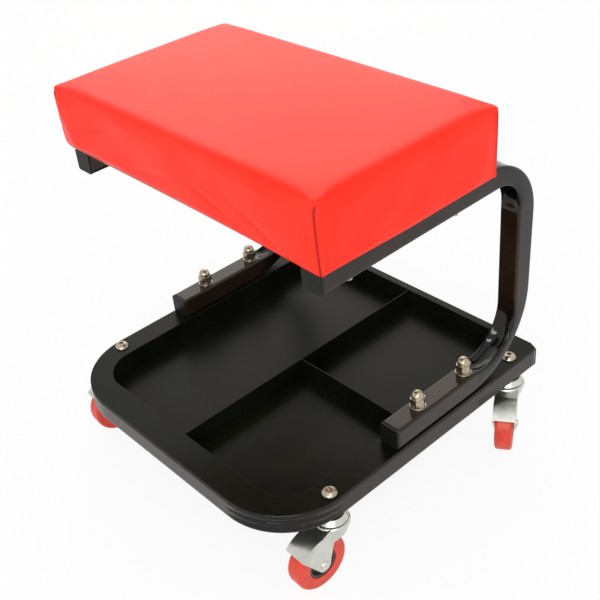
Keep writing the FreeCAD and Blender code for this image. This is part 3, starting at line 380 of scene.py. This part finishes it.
def markPoints(piece, name, values):
    # numbers for the first points of a mesh, which its material reads. the rest get 0
    filled = np.zeros(len(piece.data.vertices))
    filled[:len(values)] = values
    piece.data.attributes.new(name, "FLOAT", "POINT").data.foreach_set("value", filled)


def lengthsAlong(points):
    # how far along a polyline each of its points lies
    return np.concatenate([[0], np.cumsum(np.linalg.norm(np.diff(points, axis=0), axis=1))])


def resample(points, step):
    # evenly spaced points along a polyline
    points = np.array(points, float)
    lengths = lengthsAlong(points)
    count = max(2, int(round(lengths[-1] / step)) + 1)
    places = np.linspace(0, lengths[-1], count)
    return np.stack([np.interp(places, lengths, line) for line in points.T], axis=1)


# bent square tube, with its bends pressed flat and dented as a cold press leaves them
tube = {
    "side": 22, "wall": 1.5, "edge": 2.5, "edgeSteps": 4, "wallSteps": 18,
    # how far a plug's head covers an arm's end, and how deep the opening behind it goes
    "plugHead": 1.5, "plugReach": 12,
    # steps along the tube, along its wall lines while they are paired and cut, and in an arc
    "step": 3, "pairStep": 1, "cutStep": 0.5, "arcPoints": 40,
    # under 1, lean moves the most pressed place to the start of a bend and hold widens it
    "lean": 0.68, "hold": 0.8,
    # powers by which a wall's dent fades towards the side walls and towards the wall across
    "innerFade": (1.5, 4), "outerFade": (1.2, 4),
    # ridges that run along the outer wall of a bend: spacing, place, and power of their fade
    "ridgePitch": 7.4, "ridgeShift": 1, "ridgeFade": 6,
}
plainSection = {"inner": 0, "outer": 0, "bulge": 0, "ripple": 0, "ridge": 0}


def tubeSection(height, push):
    # outline of the section in millimetres: (across, up from the inner to the outer wall).
    # inner and outer sink those walls, bulge swells the side walls, ripple and ridge are waves
    half, edge, steps = tube["side"] / 2, tube["edge"], tube["edgeSteps"]
    centres = [(side * (half - edge), height - edge if top else edge)
               for side, top in ((-1, 0), (1, 0), (1, 1), (-1, 1))]

    def onCorner(corner, turn):
        angle = math.radians(180 + 90 * turn)
        centre = centres[corner % 4]
        return centre[0] + edge * math.cos(angle), centre[1] + edge * math.sin(angle)

    outline = []
    for corner in range(4):
        outline += [onCorner(corner, corner + step / steps) for step in range(steps)]
        first, last = onCorner(corner, corner + 1), onCorner(corner + 1, corner + 1)
        for step in range(tube["wallSteps"]):
            share = step / tube["wallSteps"]
            outline.append(tuple(a + (b - a) * share for a, b in zip(first, last)))
    innerAcross, innerUp = tube["innerFade"]
    outerAcross, outerUp = tube["outerFade"]
    shaped = []
    for across, up in outline:
        middle = max(0, 1 - (across / half) ** 2)
        high = up / height
        low = 1 - high
        waves = math.cos(2 * math.pi * (across + tube["ridgeShift"]) / tube["ridgePitch"])
        rise = push["inner"] * middle ** innerAcross * low ** innerUp
        rise -= push["outer"] * middle ** outerAcross * high ** outerUp
        rise += push["ripple"] * middle * low ** innerUp
        rise += push["ridge"] * middle * high ** tube["ridgeFade"] * waves
        if abs(across) > half - edge:
            bulge = push["bulge"] * math.sin(math.pi * min(1, max(0, high)))
            across += math.copysign(bulge, across)
        shaped.append((across, up + rise))
    return shaped


def arcPoints(centre, radius, start, end):
    angles = np.radians(np.linspace(start, end, tube["arcPoints"]))
    return [(centre[0] + radius * math.cos(a), centre[1] + radius * math.sin(a)) for a in angles]


def pairedRun(outer, inner, bent):
    # stations between two wall lines: outer point, inner point, how strongly the tube is bent
    # there, and how far through the bend
    lines = [resample(line, tube["pairStep"]) for line in (outer, inner)]
    steps = max(2, int(max(len(line) for line in lines) / tube["step"]))
    stations = []
    for share in np.linspace(0, 1, steps + 1)[:-1]:
        pair = []
        for line in lines:
            place = share * (len(line) - 1)
            base = int(place)
            after = min(base + 1, len(line) - 1)
            pair.append(line[base] + (line[after] - line[base]) * (place - base))
        weight = math.sin(math.pi * share ** tube["lean"]) ** tube["hold"] if bent else 0
        stations.append((*pair, weight, share if bent else 0))
    return stations


def cutAndPair(outer, inner, tests, bends):
    # splits both wall lines at the same places and pairs the pieces
    pieces = []
    for line in (resample(outer, tube["cutStep"]), resample(inner, tube["cutStep"])):
        found, start = [], 0
        for test in tests:
            end = start
            while end < len(line) - 1 and test(line[end]):
                end += 1
            found.append(line[start:end + 1])
            start = end
        pieces.append(found)
    stations = []
    for index, (outerPiece, innerPiece) in enumerate(zip(*pieces)):
        stations += pairedRun(outerPiece, innerPiece, index in bends)
    stations.append((outerPiece[-1], innerPiece[-1], 0, 0))
    return stations


def sweepTube(name, stations, lift, dents):
    # lift turns (point in the plane of the bends, across) into metres in the object's frame
    rings = []
    for outerPoint, innerPoint, weight, share in stations:
        reach = np.linalg.norm(outerPoint - innerPoint)
        direction = (outerPoint - innerPoint) / reach
        push = {kind: weight * dents[kind] for kind in plainSection}
        push["ripple"] *= math.sin(2 * math.pi * dents["waves"] * share)
        rings.append([lift(innerPoint + direction * up, across)
                      for across, up in tubeSection(reach, push)])
    # the open ends turn inwards over the wall and close behind the plugs
    shrink = 1 - 2 * tube["wall"] / tube["side"]
    for end, following in ((0, 1), (-1, -2)):
        outerPoint, innerPoint = stations[end][:2]
        reach = np.linalg.norm(outerPoint - innerPoint)
        direction = (outerPoint - innerPoint) / reach
        inward = stations[following][1] - innerPoint
        inward = inward / np.linalg.norm(inward)
        for depth in (0, tube["plugReach"]):
            ring = []
            for across, up in tubeSection(reach, plainSection):
                level = reach / 2 + (up - reach / 2) * shrink
                spot = innerPoint + direction * level + inward * depth
                ring.append(lift(spot, across * shrink))
            rings = [ring] + rings if end == 0 else rings + [ring]
    count = len(rings[0])
    faces = ringFaces(len(rings), count)
    points = [point for ring in rings for point in ring]
    closeRing(points, faces, 0, count)
    closeRing(points, faces, (len(rings) - 1) * count, count)
    piece = meshPiece(name, points, faces, glossMaterial)
    # painted shade makes the bends blacker. two plain rings lie before and after the stations
    markPoints(piece, "bend", np.repeat([0, 0, *(station[2] for station in stations), 0, 0], count))
    return piece


# legs: C shapes in the YZ plane. spring is how far the back wall stands out above
leg = {
    "spread": 160, "low": 96.5, "high": 330.5, "rear": 160.9,
    "upperFront": -106.8, "lowerFront": -31.1,
    "upperOuter": 64, "upperInner": 31, "lowerOuter": 88, "lowerInner": 46, "spring": 1.6,
    "dents": {"inner": 4.2, "outer": 1.2, "bulge": 0.6, "ripple": 1.1, "waves": 2.5, "ridge": 0},
}


def legStations():
    low, high, rear = leg["low"], leg["high"], leg["rear"]
    lowerStart = leg["lowerFront"] + tube["plugHead"]
    upperStart = leg["upperFront"] + tube["plugHead"]
    lines, centres = [], []
    for depth, lower, upper, spring in (
            (0, leg["lowerOuter"], leg["upperOuter"], leg["spring"]),
            (tube["side"], leg["lowerInner"], leg["upperInner"], 0)):
        lowerCentre = (rear - depth - lower, low + depth + lower)
        upperCentre = (rear - depth + spring - upper, high - depth - upper)
        line = [(lowerStart, low + depth)] + arcPoints(lowerCentre, lower, -90, 0)
        lines.append(line + arcPoints(upperCentre, upper, 0, 90) + [(upperStart, high - depth)])
        centres.append(lowerCentre + upperCentre)
    # both walls' lines are cut where the middle line starts and ends its bends
    lowerCut, lowerCutUp, upperCut, upperCutUp = ((a + b) / 2 for a, b in zip(*centres))
    return cutAndPair(*lines, [
        lambda p: p[1] < (low + high) / 2 and p[0] < lowerCut,
        lambda p: p[1] < lowerCutUp,
        lambda p: p[1] < upperCutUp,
        lambda p: p[0] > upperCut,
        lambda p: True], (1, 3))


for name, side in (("left", -1), ("right", 1)):
    middle = side * leg["spread"] * mm
    piece = sweepTube(
        "leg_" + name + "_tube", legStations(),
        lambda point, across: (middle + across * mm, point[0] * mm, point[1] * mm), leg["dents"])
    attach(piece, "frame")
    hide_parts("leg_" + name)


# base: a U of the same tube in the XY plane, its front bends dished on the outside
base = {
    "halfWidth": 173, "front": -178.5, "rear": 176, "bend": 73, "bottom": 73.5,
    "dents": {"inner": 0.6, "outer": 1.6, "bulge": 0.2, "ripple": 0.3, "waves": 3, "ridge": 1.05},
}


def baseStations():
    width, front, bend = base["halfWidth"], base["front"], base["bend"]
    rear = base["rear"] - tube["plugHead"]
    lines = []
    for depth in (0, tube["side"]):
        line = [(depth - width, rear)]
        line += arcPoints((bend - width, front + bend), bend - depth, 180, 270)
        line += arcPoints((width - bend, front + bend), bend - depth, 270, 360)
        lines.append(line + [(width - depth, rear)])
    return cutAndPair(*lines, [
        lambda p: p[1] > front + bend,
        lambda p: p[0] < bend - width,
        lambda p: p[0] < width - bend,
        lambda p: p[1] < front + bend,
        lambda p: True], (1, 3))


middle = (base["bottom"] + tube["side"] / 2) * mm
piece = sweepTube(
    "base_tube_bent", baseStations(),
    lambda point, across: (point[0] * mm, point[1] * mm, middle + across * mm), base["dents"])
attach(piece, "frame")
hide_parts("base_tube")
print("bent tubes done")


# seat cushion: a boxed vinyl cover drawn tight over foam and stapled under its board.
# lengths are in millimetres, heights from the underside, and a pair that is named for a foot, a
# top or an edge says where a form fades and over how much
seat = {
    "width": 355, "depth": 208, "shift": 7.5, "underside": 330.5,
    # corners in plan: radius at the sides, and its growth with the inset
    "corner": 1.5, "cornerGrowth": 0.14, "arcSteps": 8,
    # rows under the board from the middle outwards: (inset, height)
    "under": [(34, 5), (34, 0.4), (33.4, 0), (20, 0), (8, 0), (3.2, 0.2)],
    # (height, inset) from foot to crown, and how it is smoothed
    "profile": [(0, 0.6), (0.4, 0.2), (1.2, 0), (5, 0), (12, 0), (38, 0), (54, 0), (58.6, 0.2),
                (61.4, 0.8), (63.3, 1.9), (64.6, 3.3), (65.5, 5.2), (66.1, 7.8), (66.4, 11),
                (66.5, 18), (66.5, 26)],
    "profileStep": 0.5, "smoothPoints": 7,
    # rows on the sides and over the edge, wider rows on the flat top, and where those start
    "rowStep": 1.3, "topRowStep": 2.6, "topRows": 74,
    # columns: first step beside a corner, its growth, and the widest step
    "columnStep": 0.32, "columnGrowth": 0.12, "widestColumn": 3.6,
    # the forms of the sides fade in over the foot and out under the top edge
    "sideFoot": (-0.5, 6), "sideTop": (60, 10),
    "swell": 0.9, "swellReach": 24,
    # facets of the folded cover: (reach along the side, height) where they run out, and how far
    # the ridge stands out. facing parts a flat side from its rounded corners
    "facet": (27, 58), "facetReach": 7, "ridge": 0.25, "ridgeFrontLeft": 3, "facing": 0.9,
    # broad waves of loosely held vinyl: (share, run along, run up, shift from side to side)
    "waves": ((1, 23, 15, 1.7), (0.5, 9.5, -11, 1)), "wave": 0.5, "waveReach": 20,
    # low creases that run up and along from where the staples pull: (place, height, slope, width)
    "creases": ((-118, 34, 0.32, 2.6), (-96, 24, 0.5, 2.2), (-30, 16, 0.2, 3.2),
                (44, 20, -0.3, 3), (104, 18, -0.4, 2.6)),
    "crease": 0.85, "creaseReach": 26, "creaseShareRight": 0.25,
    # short upright pulls over the staples, near the foot
    "pull": 0.3, "pullRun": 5.1, "pullFoot": (-1, 3), "pullTop": (16, 14),
    # fold at each corner: (height, place from the corner's middle, towards the side faces).
    # at the back right the cover is folded the other way round
    "foldPath": [(-2, -0.5), (2, -0.6), (8, -1.0), (18, -1.6), (30, -2.1), (42, -2.5), (50, -2.6),
                 (55, -2.3), (58.5, -1.4), (61, 0.3)],
    "foldTop": (61.5, 2.5), "foldBackRight": -0.7, "foldDepth": 1.3, "foldWidth": 1.05,
    "lip": 0.7, "lipPlace": 2.2, "lipWidth": 1,
    # the top edge stays sharp at the corners: how far round, how fast that ends, the share of
    # its rounding that it loses, and where
    "sharpReach": 9, "sharpFade": 1.4, "sharpShare": 0.88, "sharpFrom": 50, "sharpEdge": (9, 5),
    # the top: its crown, and a slight unevenness as (run across, run back, shift)
    "crown": 0.8, "crownEdge": (60, 5), "uneven": 0.14, "unevenWaves": ((47, 60, 0), (-90, 33, 1)),
    # the front foot is drawn up, most at the left, and this runs out along the depth and the
    # height. the right foot hangs a little, from these shares of the width and depth on
    "lift": 6.4, "liftAlong": 0.6, "liftTop": 60, "sag": 2.1, "sagAcross": (0.5, 0.5),
    "sagBack": (0, 0.5),
    # heights that the cover is drawn down to: front left, front right, back left, back right
    "cornerTops": (63, 64.6, 60.5, 61), "dropReach": 14, "dropFade": 1.3, "dropShare": 0.97,
    # how dark the painted shade in the folds and on the turned-under foot is
    "foldSpread": 0.7, "footShade": 0.5, "footEdge": (2, 1.3),
}


def smoothProfile():
    # (inset, height) of each row, from the foot to the flat top
    line = resample([(inset, height) for height, inset in seat["profile"]], seat["profileStep"])
    # each point takes the mean of its neighbours, weighed by a bell curve
    count = seat["smoothPoints"]
    kernel = np.exp(-np.linspace(-2, 2, count) ** 2)
    kernel /= kernel.sum()
    padded = np.pad(line, ((count // 2, count // 2), (0, 0)), "edge")
    soft = np.stack([np.convolve(column, kernel, "valid") for column in padded.T], axis=1)
    soft[0] = line[0]
    lengths = lengthsAlong(soft)
    places = list(np.arange(0, seat["topRows"], seat["rowStep"]))
    places += list(np.arange(seat["topRows"], lengths[-1], seat["topRowStep"]))
    return [[np.interp(place, lengths, column) for column in soft.T] for place in places]


def sideShares(length):
    # places along a straight side, closer near the corners
    steps, place = [], 0
    while place < length / 2:
        steps.append(place)
        place += min(seat["widestColumn"], seat["columnStep"] + place * seat["columnGrowth"])
    mirrored = [length - step for step in reversed(steps)]
    return np.array(steps + mirrored) / length


def seatRing(inset, height):
    # plan outline of one row, counter-clockwise from the front left: place, outward direction,
    # inset, distance round the nearest corner, positive towards the side faces, and side
    corner = seat["corner"] + inset * seat["cornerGrowth"]
    halfWidth, halfDepth = seat["width"] / 2 - inset, seat["depth"] / 2 - inset
    arc = corner * math.pi / 4
    spots = [Vector((x * (halfWidth - corner), y * (halfDepth - corner)))
             for x, y in ((-1, -1), (1, -1), (1, 1), (-1, 1))]
    rows = []
    for side in range(4):
        first, last = spots[side], spots[(side + 1) % 4]
        outward = Vector(((0, -1), (1, 0), (0, 1), (-1, 0))[side])
        length = (last - first).length
        sign = 1 if side % 2 else -1
        for share in sideShares(seat["depth" if side % 2 else "width"]):
            spot = first.lerp(last, share) + outward * corner
            around = sign * (arc + length * min(share, 1 - share))
            rows.append((*spot, height, *outward, inset, around, side))
        for step in range(1, seat["arcSteps"]):
            share = step / seat["arcSteps"]
            angle = math.radians(-90 + 90 * side + 90 * share)
            outX, outY = math.cos(angle), math.sin(angle)
            rows.append((last.x + corner * outX, last.y + corner * outY, height, outX, outY,
                         inset, sign * arc * (1 - 2 * share), side))
    return rows


def fadeIn(value, start, over):
    value = np.clip((value - start) / over, 0, 1)
    return value * value * (3 - 2 * value)


def fadeOut(value, end, over):
    return fadeIn(-value, -end, over)


def bellAt(value, middle, width):
    return np.exp(-((value - middle) / width) ** 2)


def foldNearness(x, y, height, around):
    # 1 in the bottom of a corner's fold, how far a point lies beyond it, and the fold's fade
    heights, places = zip(*seat["foldPath"])
    centre = np.interp(height, heights, places)
    gap = around - centre * np.where((x > 0) & (y > 0), seat["foldBackRight"], 1)
    fade = fadeOut(height, *seat["foldTop"])
    return bellAt(gap, 0, seat["foldWidth"]) * fade, gap, fade


def standOut(x, y, height, outX, outY, inset, around, side):
    # how far each point of the cushion stands out from the plain box
    frontOrBack = np.abs(outY) > np.abs(outX)
    along = np.where(frontOrBack, x, y)
    reach = np.where(frontOrBack, seat["width"] / 2 - np.abs(x), seat["depth"] / 2 - np.abs(y))
    onSide = fadeOut(height, *seat["sideTop"]) * fadeIn(height, *seat["sideFoot"])
    # each side swells a little, up to the ridge of the flat facet at its corner
    offset = seat["swell"] * onSide * fadeIn(reach, 0, seat["swellReach"])
    facet = reach / seat["facet"][0] + height / seat["facet"][1]
    atFrontLeft = (x < 0) & (outY < -seat["facing"])
    ridge = np.where(atFrontLeft, seat["ridgeFrontLeft"], seat["ridge"])
    ridge = ridge * np.minimum(facet, 1) * np.exp(-np.maximum(0, facet - 1))
    offset += ridge * onSide * fadeIn(reach, 0, seat["facetReach"])
    wave = sum(share * np.sin(along / run + height / rise + side * shift)
               for share, run, rise, shift in seat["waves"])
    offset += seat["wave"] * wave * onSide * fadeIn(reach, 0, seat["waveReach"])
    for place, level, slope, width in seat["creases"]:
        crease = bellAt(height - (along - place) * slope, level, width)
        crease *= bellAt(along, place, seat["creaseReach"])
        crease *= np.where(side == 1, seat["creaseShareRight"], 1)
        offset -= seat["crease"] * crease * onSide
    pull = np.cos(along / seat["pullRun"] + side)
    pull *= fadeOut(height, *seat["pullTop"]) * fadeIn(height, *seat["pullFoot"])
    offset -= seat["pull"] * (0.5 + 0.5 * pull) * onSide
    # the fold: a narrow groove with a rounded lip beside it
    groove, gap, fade = foldNearness(x, y, height, around)
    offset += bellAt(gap, seat["lipPlace"], seat["lipWidth"]) * seat["lip"] * fade
    offset -= groove * seat["foldDepth"]
    nearCorner = np.exp(-(np.abs(around) / seat["sharpReach"]) ** seat["sharpFade"])
    edge = np.where(height > seat["sharpFrom"], inset, 0) * seat["sharpShare"] * nearCorner
    return offset + edge * fadeOut(inset, *seat["sharpEdge"])


def standUp(x, y, height):
    # how far each point of the cushion is raised over the plain box
    halfWidth, halfDepth = seat["width"] / 2, seat["depth"] / 2
    crown = seat["crown"] * (1 - (x / halfWidth) ** 2) * (1 - (y / halfDepth) ** 2)
    uneven = sum(np.sin(x / run + y / back + shift) for run, back, shift in seat["unevenWaves"])
    level = crown + seat["uneven"] * uneven - 2 * seat["uneven"]
    rise = fadeIn(height, *seat["crownEdge"]) * level
    across, back = (x / halfWidth + 1) / 2, (y / halfDepth + 1) / 2
    drawnUp = seat["lift"] * (1 - across ** 2) * (1 - fadeIn(back, 0, seat["liftAlong"]))
    drawnUp -= seat["sag"] * fadeIn(across, *seat["sagAcross"]) * fadeIn(back, *seat["sagBack"])
    rise += drawnUp * np.maximum(0, 1 - height / seat["liftTop"])
    # the cover is drawn down at the four corners
    away = np.hypot(halfWidth - np.abs(x), halfDepth - np.abs(y)) / seat["dropReach"]
    tops = np.array(seat["cornerTops"])[(x > 0) + 2 * (y > 0)]
    near = np.exp(-away ** seat["dropFade"])
    return rise - np.maximum(0, height + rise - tops) * near * seat["dropShare"]


def shapeCushion(rows):
    # moves each point of the plain form
    data = np.array(rows).T
    x, y, height, outX, outY = data[:5]
    offset = standOut(*data)
    rise = standUp(x, y, height)
    return np.stack([x + outX * offset, y + outY * offset, height + rise], axis=1)


def creviceShade(rows):
    # how dark the painted shade makes each point of the cover: the folds and the turned-under foot
    x, y, height, *_, around, _ = np.array(rows).T
    groove = foldNearness(x, y, height, around)[0]
    foot = fadeOut(height, *seat["footEdge"])
    return np.maximum(groove ** seat["foldSpread"], seat["footShade"] * foot)


def fillAcross(ring):
    # a grid of points inside a ring, row by row from its front side to its back side. on its
    # border a point of the ring is given by its number
    columns = [len(sideShares(seat[side])) for side in ("width", "depth")]
    half = seat["arcSteps"] // 2
    starts = [0]
    for index in range(3):
        starts.append(starts[-1] + columns[index % 2] + seat["arcSteps"] - 1)
    count = len(ring)
    turns = [(start - half) % count for start in starts]
    sides = []
    for index in range(4):
        length = (turns[(index + 1) % 4] - turns[index]) % count
        sides.append([(turns[index] + step) % count for step in range(length + 1)])
    front, right, back, left = sides[0], sides[1], sides[2][::-1], sides[3][::-1]
    spots = np.array([row[:2] for row in ring])
    grid = [front]
    for row in range(1, len(left) - 1):
        v = row / (len(left) - 1)
        line = [left[row]]
        for column in range(1, len(front) - 1):
            # between the four sides, less what the corners give twice
            u = column / (len(front) - 1)
            spot = (1 - v) * spots[front[column]] + v * spots[back[column]]
            spot = spot + (1 - u) * spots[left[row]] + u * spots[right[row]]
            spot = spot - (1 - u) * (1 - v) * spots[front[0]] - u * (1 - v) * spots[front[-1]]
            spot = spot - (1 - u) * v * spots[back[0]] - u * v * spots[back[-1]]
            line.append((*spot, ring[0][2], 0, 0, 0, 0, 0))
        grid.append(line + [right[row]])
    return grid + [back]


def addPatch(points, faces, ring, first, shape):
    # closes a ring of points with a grid of quads
    grid = fillAcross(ring)
    inner = [spot for line in grid for spot in line if isinstance(spot, tuple)]
    numbers = iter(range(len(points), len(points) + len(inner)))
    points += list(shape(inner))
    indices = [[next(numbers) if isinstance(spot, tuple) else first + spot for spot in line]
               for line in grid]
    for low, high in zip(indices, indices[1:]):
        for column in range(len(low) - 1):
            faces.append((low[column], low[column + 1], high[column + 1], high[column]))


def makeCushion():
    under = [seatRing(inset, height) for inset, height in seat["under"]]
    plain = [seatRing(inset, height) for inset, height in smoothProfile()]
    rings = [np.array(ring)[:, :3] for ring in under] + [shapeCushion(ring) for ring in plain]
    count = len(plain[0])
    points = [point for ring in rings for point in ring]
    faces = ringFaces(len(rings), count)
    addPatch(points, faces, plain[-1], len(points) - count, shapeCushion)
    addPatch(points, faces, under[0], 0, lambda rows: np.array(rows)[:, :3])
    spots = (np.array(points) + np.array([0, -seat["shift"], seat["underside"]])) * mm
    piece = meshPiece("seat_cushion", spots, faces, vinylMaterial)
    # painted shade: the rows under the board are all darkened like the foot
    shades = [np.full(len(under) * count, seat["footShade"])]
    markPoints(piece, "crevice", np.concatenate(shades + [creviceShade(ring) for ring in plain]))
    rounded = piece.modifiers.new("rounded", "SUBSURF")
    rounded.levels = rounded.render_levels = 1
    return piece


cushion = makeCushion()
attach(cushion, "frame")
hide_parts("seat_cover", "seat_foam")
print("cushion done:", len(cushion.data.vertices), "points")


# stage: white paper below and around, which shows white in gloss and metal too
studio = {
    "halfWidth": 6, "paper": "#F8F8F8", "white": "#FFFFFF", "floorShare": 0.9, "ambient": 0.74,
}


def whereSeen(tree):
    # 1 for rays from the camera and rays that gloss or glass sends on, 0 for light on the object
    rays = addNode(tree, "ShaderNodeLightPath")
    mirrored = addNode(tree, "ShaderNodeMath", {"operation": "MAXIMUM"}, {
        0: rays.outputs["Is Camera Ray"], 1: rays.outputs["Is Glossy Ray"]})
    either = addNode(tree, "ShaderNodeMath", {"operation": "MAXIMUM"}, {
        0: mirrored.outputs[0], 1: rays.outputs["Is Transmission Ray"]})
    return either.outputs[0]


def makeFloor():
    mesh = bpy.data.meshes.new("floor")
    half = studio["halfWidth"]
    spots = [(-half, -half, 0), (half, -half, 0), (half, half, 0), (-half, half, 0)]
    mesh.from_pydata(spots, [], [(0, 1, 2, 3)])
    floor = bpy.data.objects.new("floor", mesh)
    bpy.context.scene.collection.objects.link(floor)
    material = bpy.data.materials.new("white_paper_sweep")
    material.use_nodes = True
    tree = material.node_tree
    tree.nodes.clear()
    paper = addNode(tree, "ShaderNodeBsdfDiffuse", None, {"Color": studio["paper"]})
    glow = addNode(tree, "ShaderNodeEmission", None, {"Color": studio["white"], "Strength": 1})
    share = addNode(tree, "ShaderNodeMath", {"operation": "MULTIPLY"}, {
        0: whereSeen(tree), 1: studio["floorShare"]})
    mixed = addNode(tree, "ShaderNodeMixShader", None, {
        "Fac": share.outputs[0], 1: paper.outputs[0], 2: glow.outputs[0]})
    addNode(tree, "ShaderNodeOutputMaterial", None, {"Surface": mixed.outputs[0]})
    mesh.materials.append(material)


def makeWorld():
    world = bpy.data.worlds.new("studio")
    bpy.context.scene.world = world
    world.use_nodes = True
    tree = world.node_tree
    tree.nodes.clear()
    level = addNode(tree, "ShaderNodeMapRange", None, {
        "Value": whereSeen(tree), "To Min": studio["ambient"], "To Max": 1})
    background = addNode(tree, "ShaderNodeBackground", None, {
        "Color": studio["white"], "Strength": level.outputs[0]})
    addNode(tree, "ShaderNodeOutputWorld", None, {"Surface": background.outputs[0]})


# lamps: (place, width and height, power, colour) in metres and watts, all aimed at the seat
lamps = {
    "key_softbox": ((1.5, -1.9, 1.3), (1.7, 0.4), 25, "#FFFFFF"),
    "strip_softbox": ((1.22, -0.6, 1.89), (0.26, 0.26), 5, "#F4F2FF"),
    "sheen_softbox": ((-1.4, 1.15, 1.3), (1.4, 1.4), 8, "#FFF6E6"),
}
lampTarget = Vector((0, 0, 0.3))


def makeLamps():
    for name, (place, size, power, colour) in lamps.items():
        light = bpy.data.lights.new(name, "AREA")
        light.shape = "RECTANGLE"
        light.size, light.size_y = size
        light.energy = power
        light.color = toLinear(colour)[:3]
        lamp = bpy.data.objects.new(name, light)
        lamp.location = place
        lamp.rotation_euler = (lampTarget - Vector(place)).to_track_quat("-Z", "Y").to_euler()
        bpy.context.scene.collection.objects.link(lamp)


# camera, fitted to the photograph's edges: place in metres, angles in degrees
camera = {
    "place": (0.63913, -0.51489, 0.73612), "yaw": 50.47, "pitch": 34.56, "roll": -5.92,
    "focalPixels": 995.2, "imagePixels": 600, "sensorMm": 36, "clipStart": 0.01,
}


def makeCamera():
    yaw, pitch, roll = (math.radians(camera[name]) for name in ("yaw", "pitch", "roll"))
    back = Vector((
        math.sin(yaw) * math.cos(pitch), -math.cos(yaw) * math.cos(pitch), math.sin(pitch)))
    level = (-back).cross(Vector((0, 0, 1))).normalized()
    upright = level.cross(-back)
    right = math.cos(roll) * level + math.sin(roll) * upright
    up = -math.sin(roll) * level + math.cos(roll) * upright
    data = bpy.data.cameras.new("camera")
    data.sensor_width = camera["sensorMm"]
    data.lens = camera["sensorMm"] * camera["focalPixels"] / camera["imagePixels"]
    data.clip_start = camera["clipStart"]
    item = bpy.data.objects.new("camera", data)
    turn = Matrix((right, up, back)).transposed().to_4x4()
    item.matrix_world = Matrix.Translation(camera["place"]) @ turn
    bpy.context.scene.collection.objects.link(item)
    bpy.context.scene.camera = item


makeFloor()
makeWorld()
makeLamps()
makeCamera()
bpy.context.scene.view_settings.view_transform = "Standard"
print("stage done")
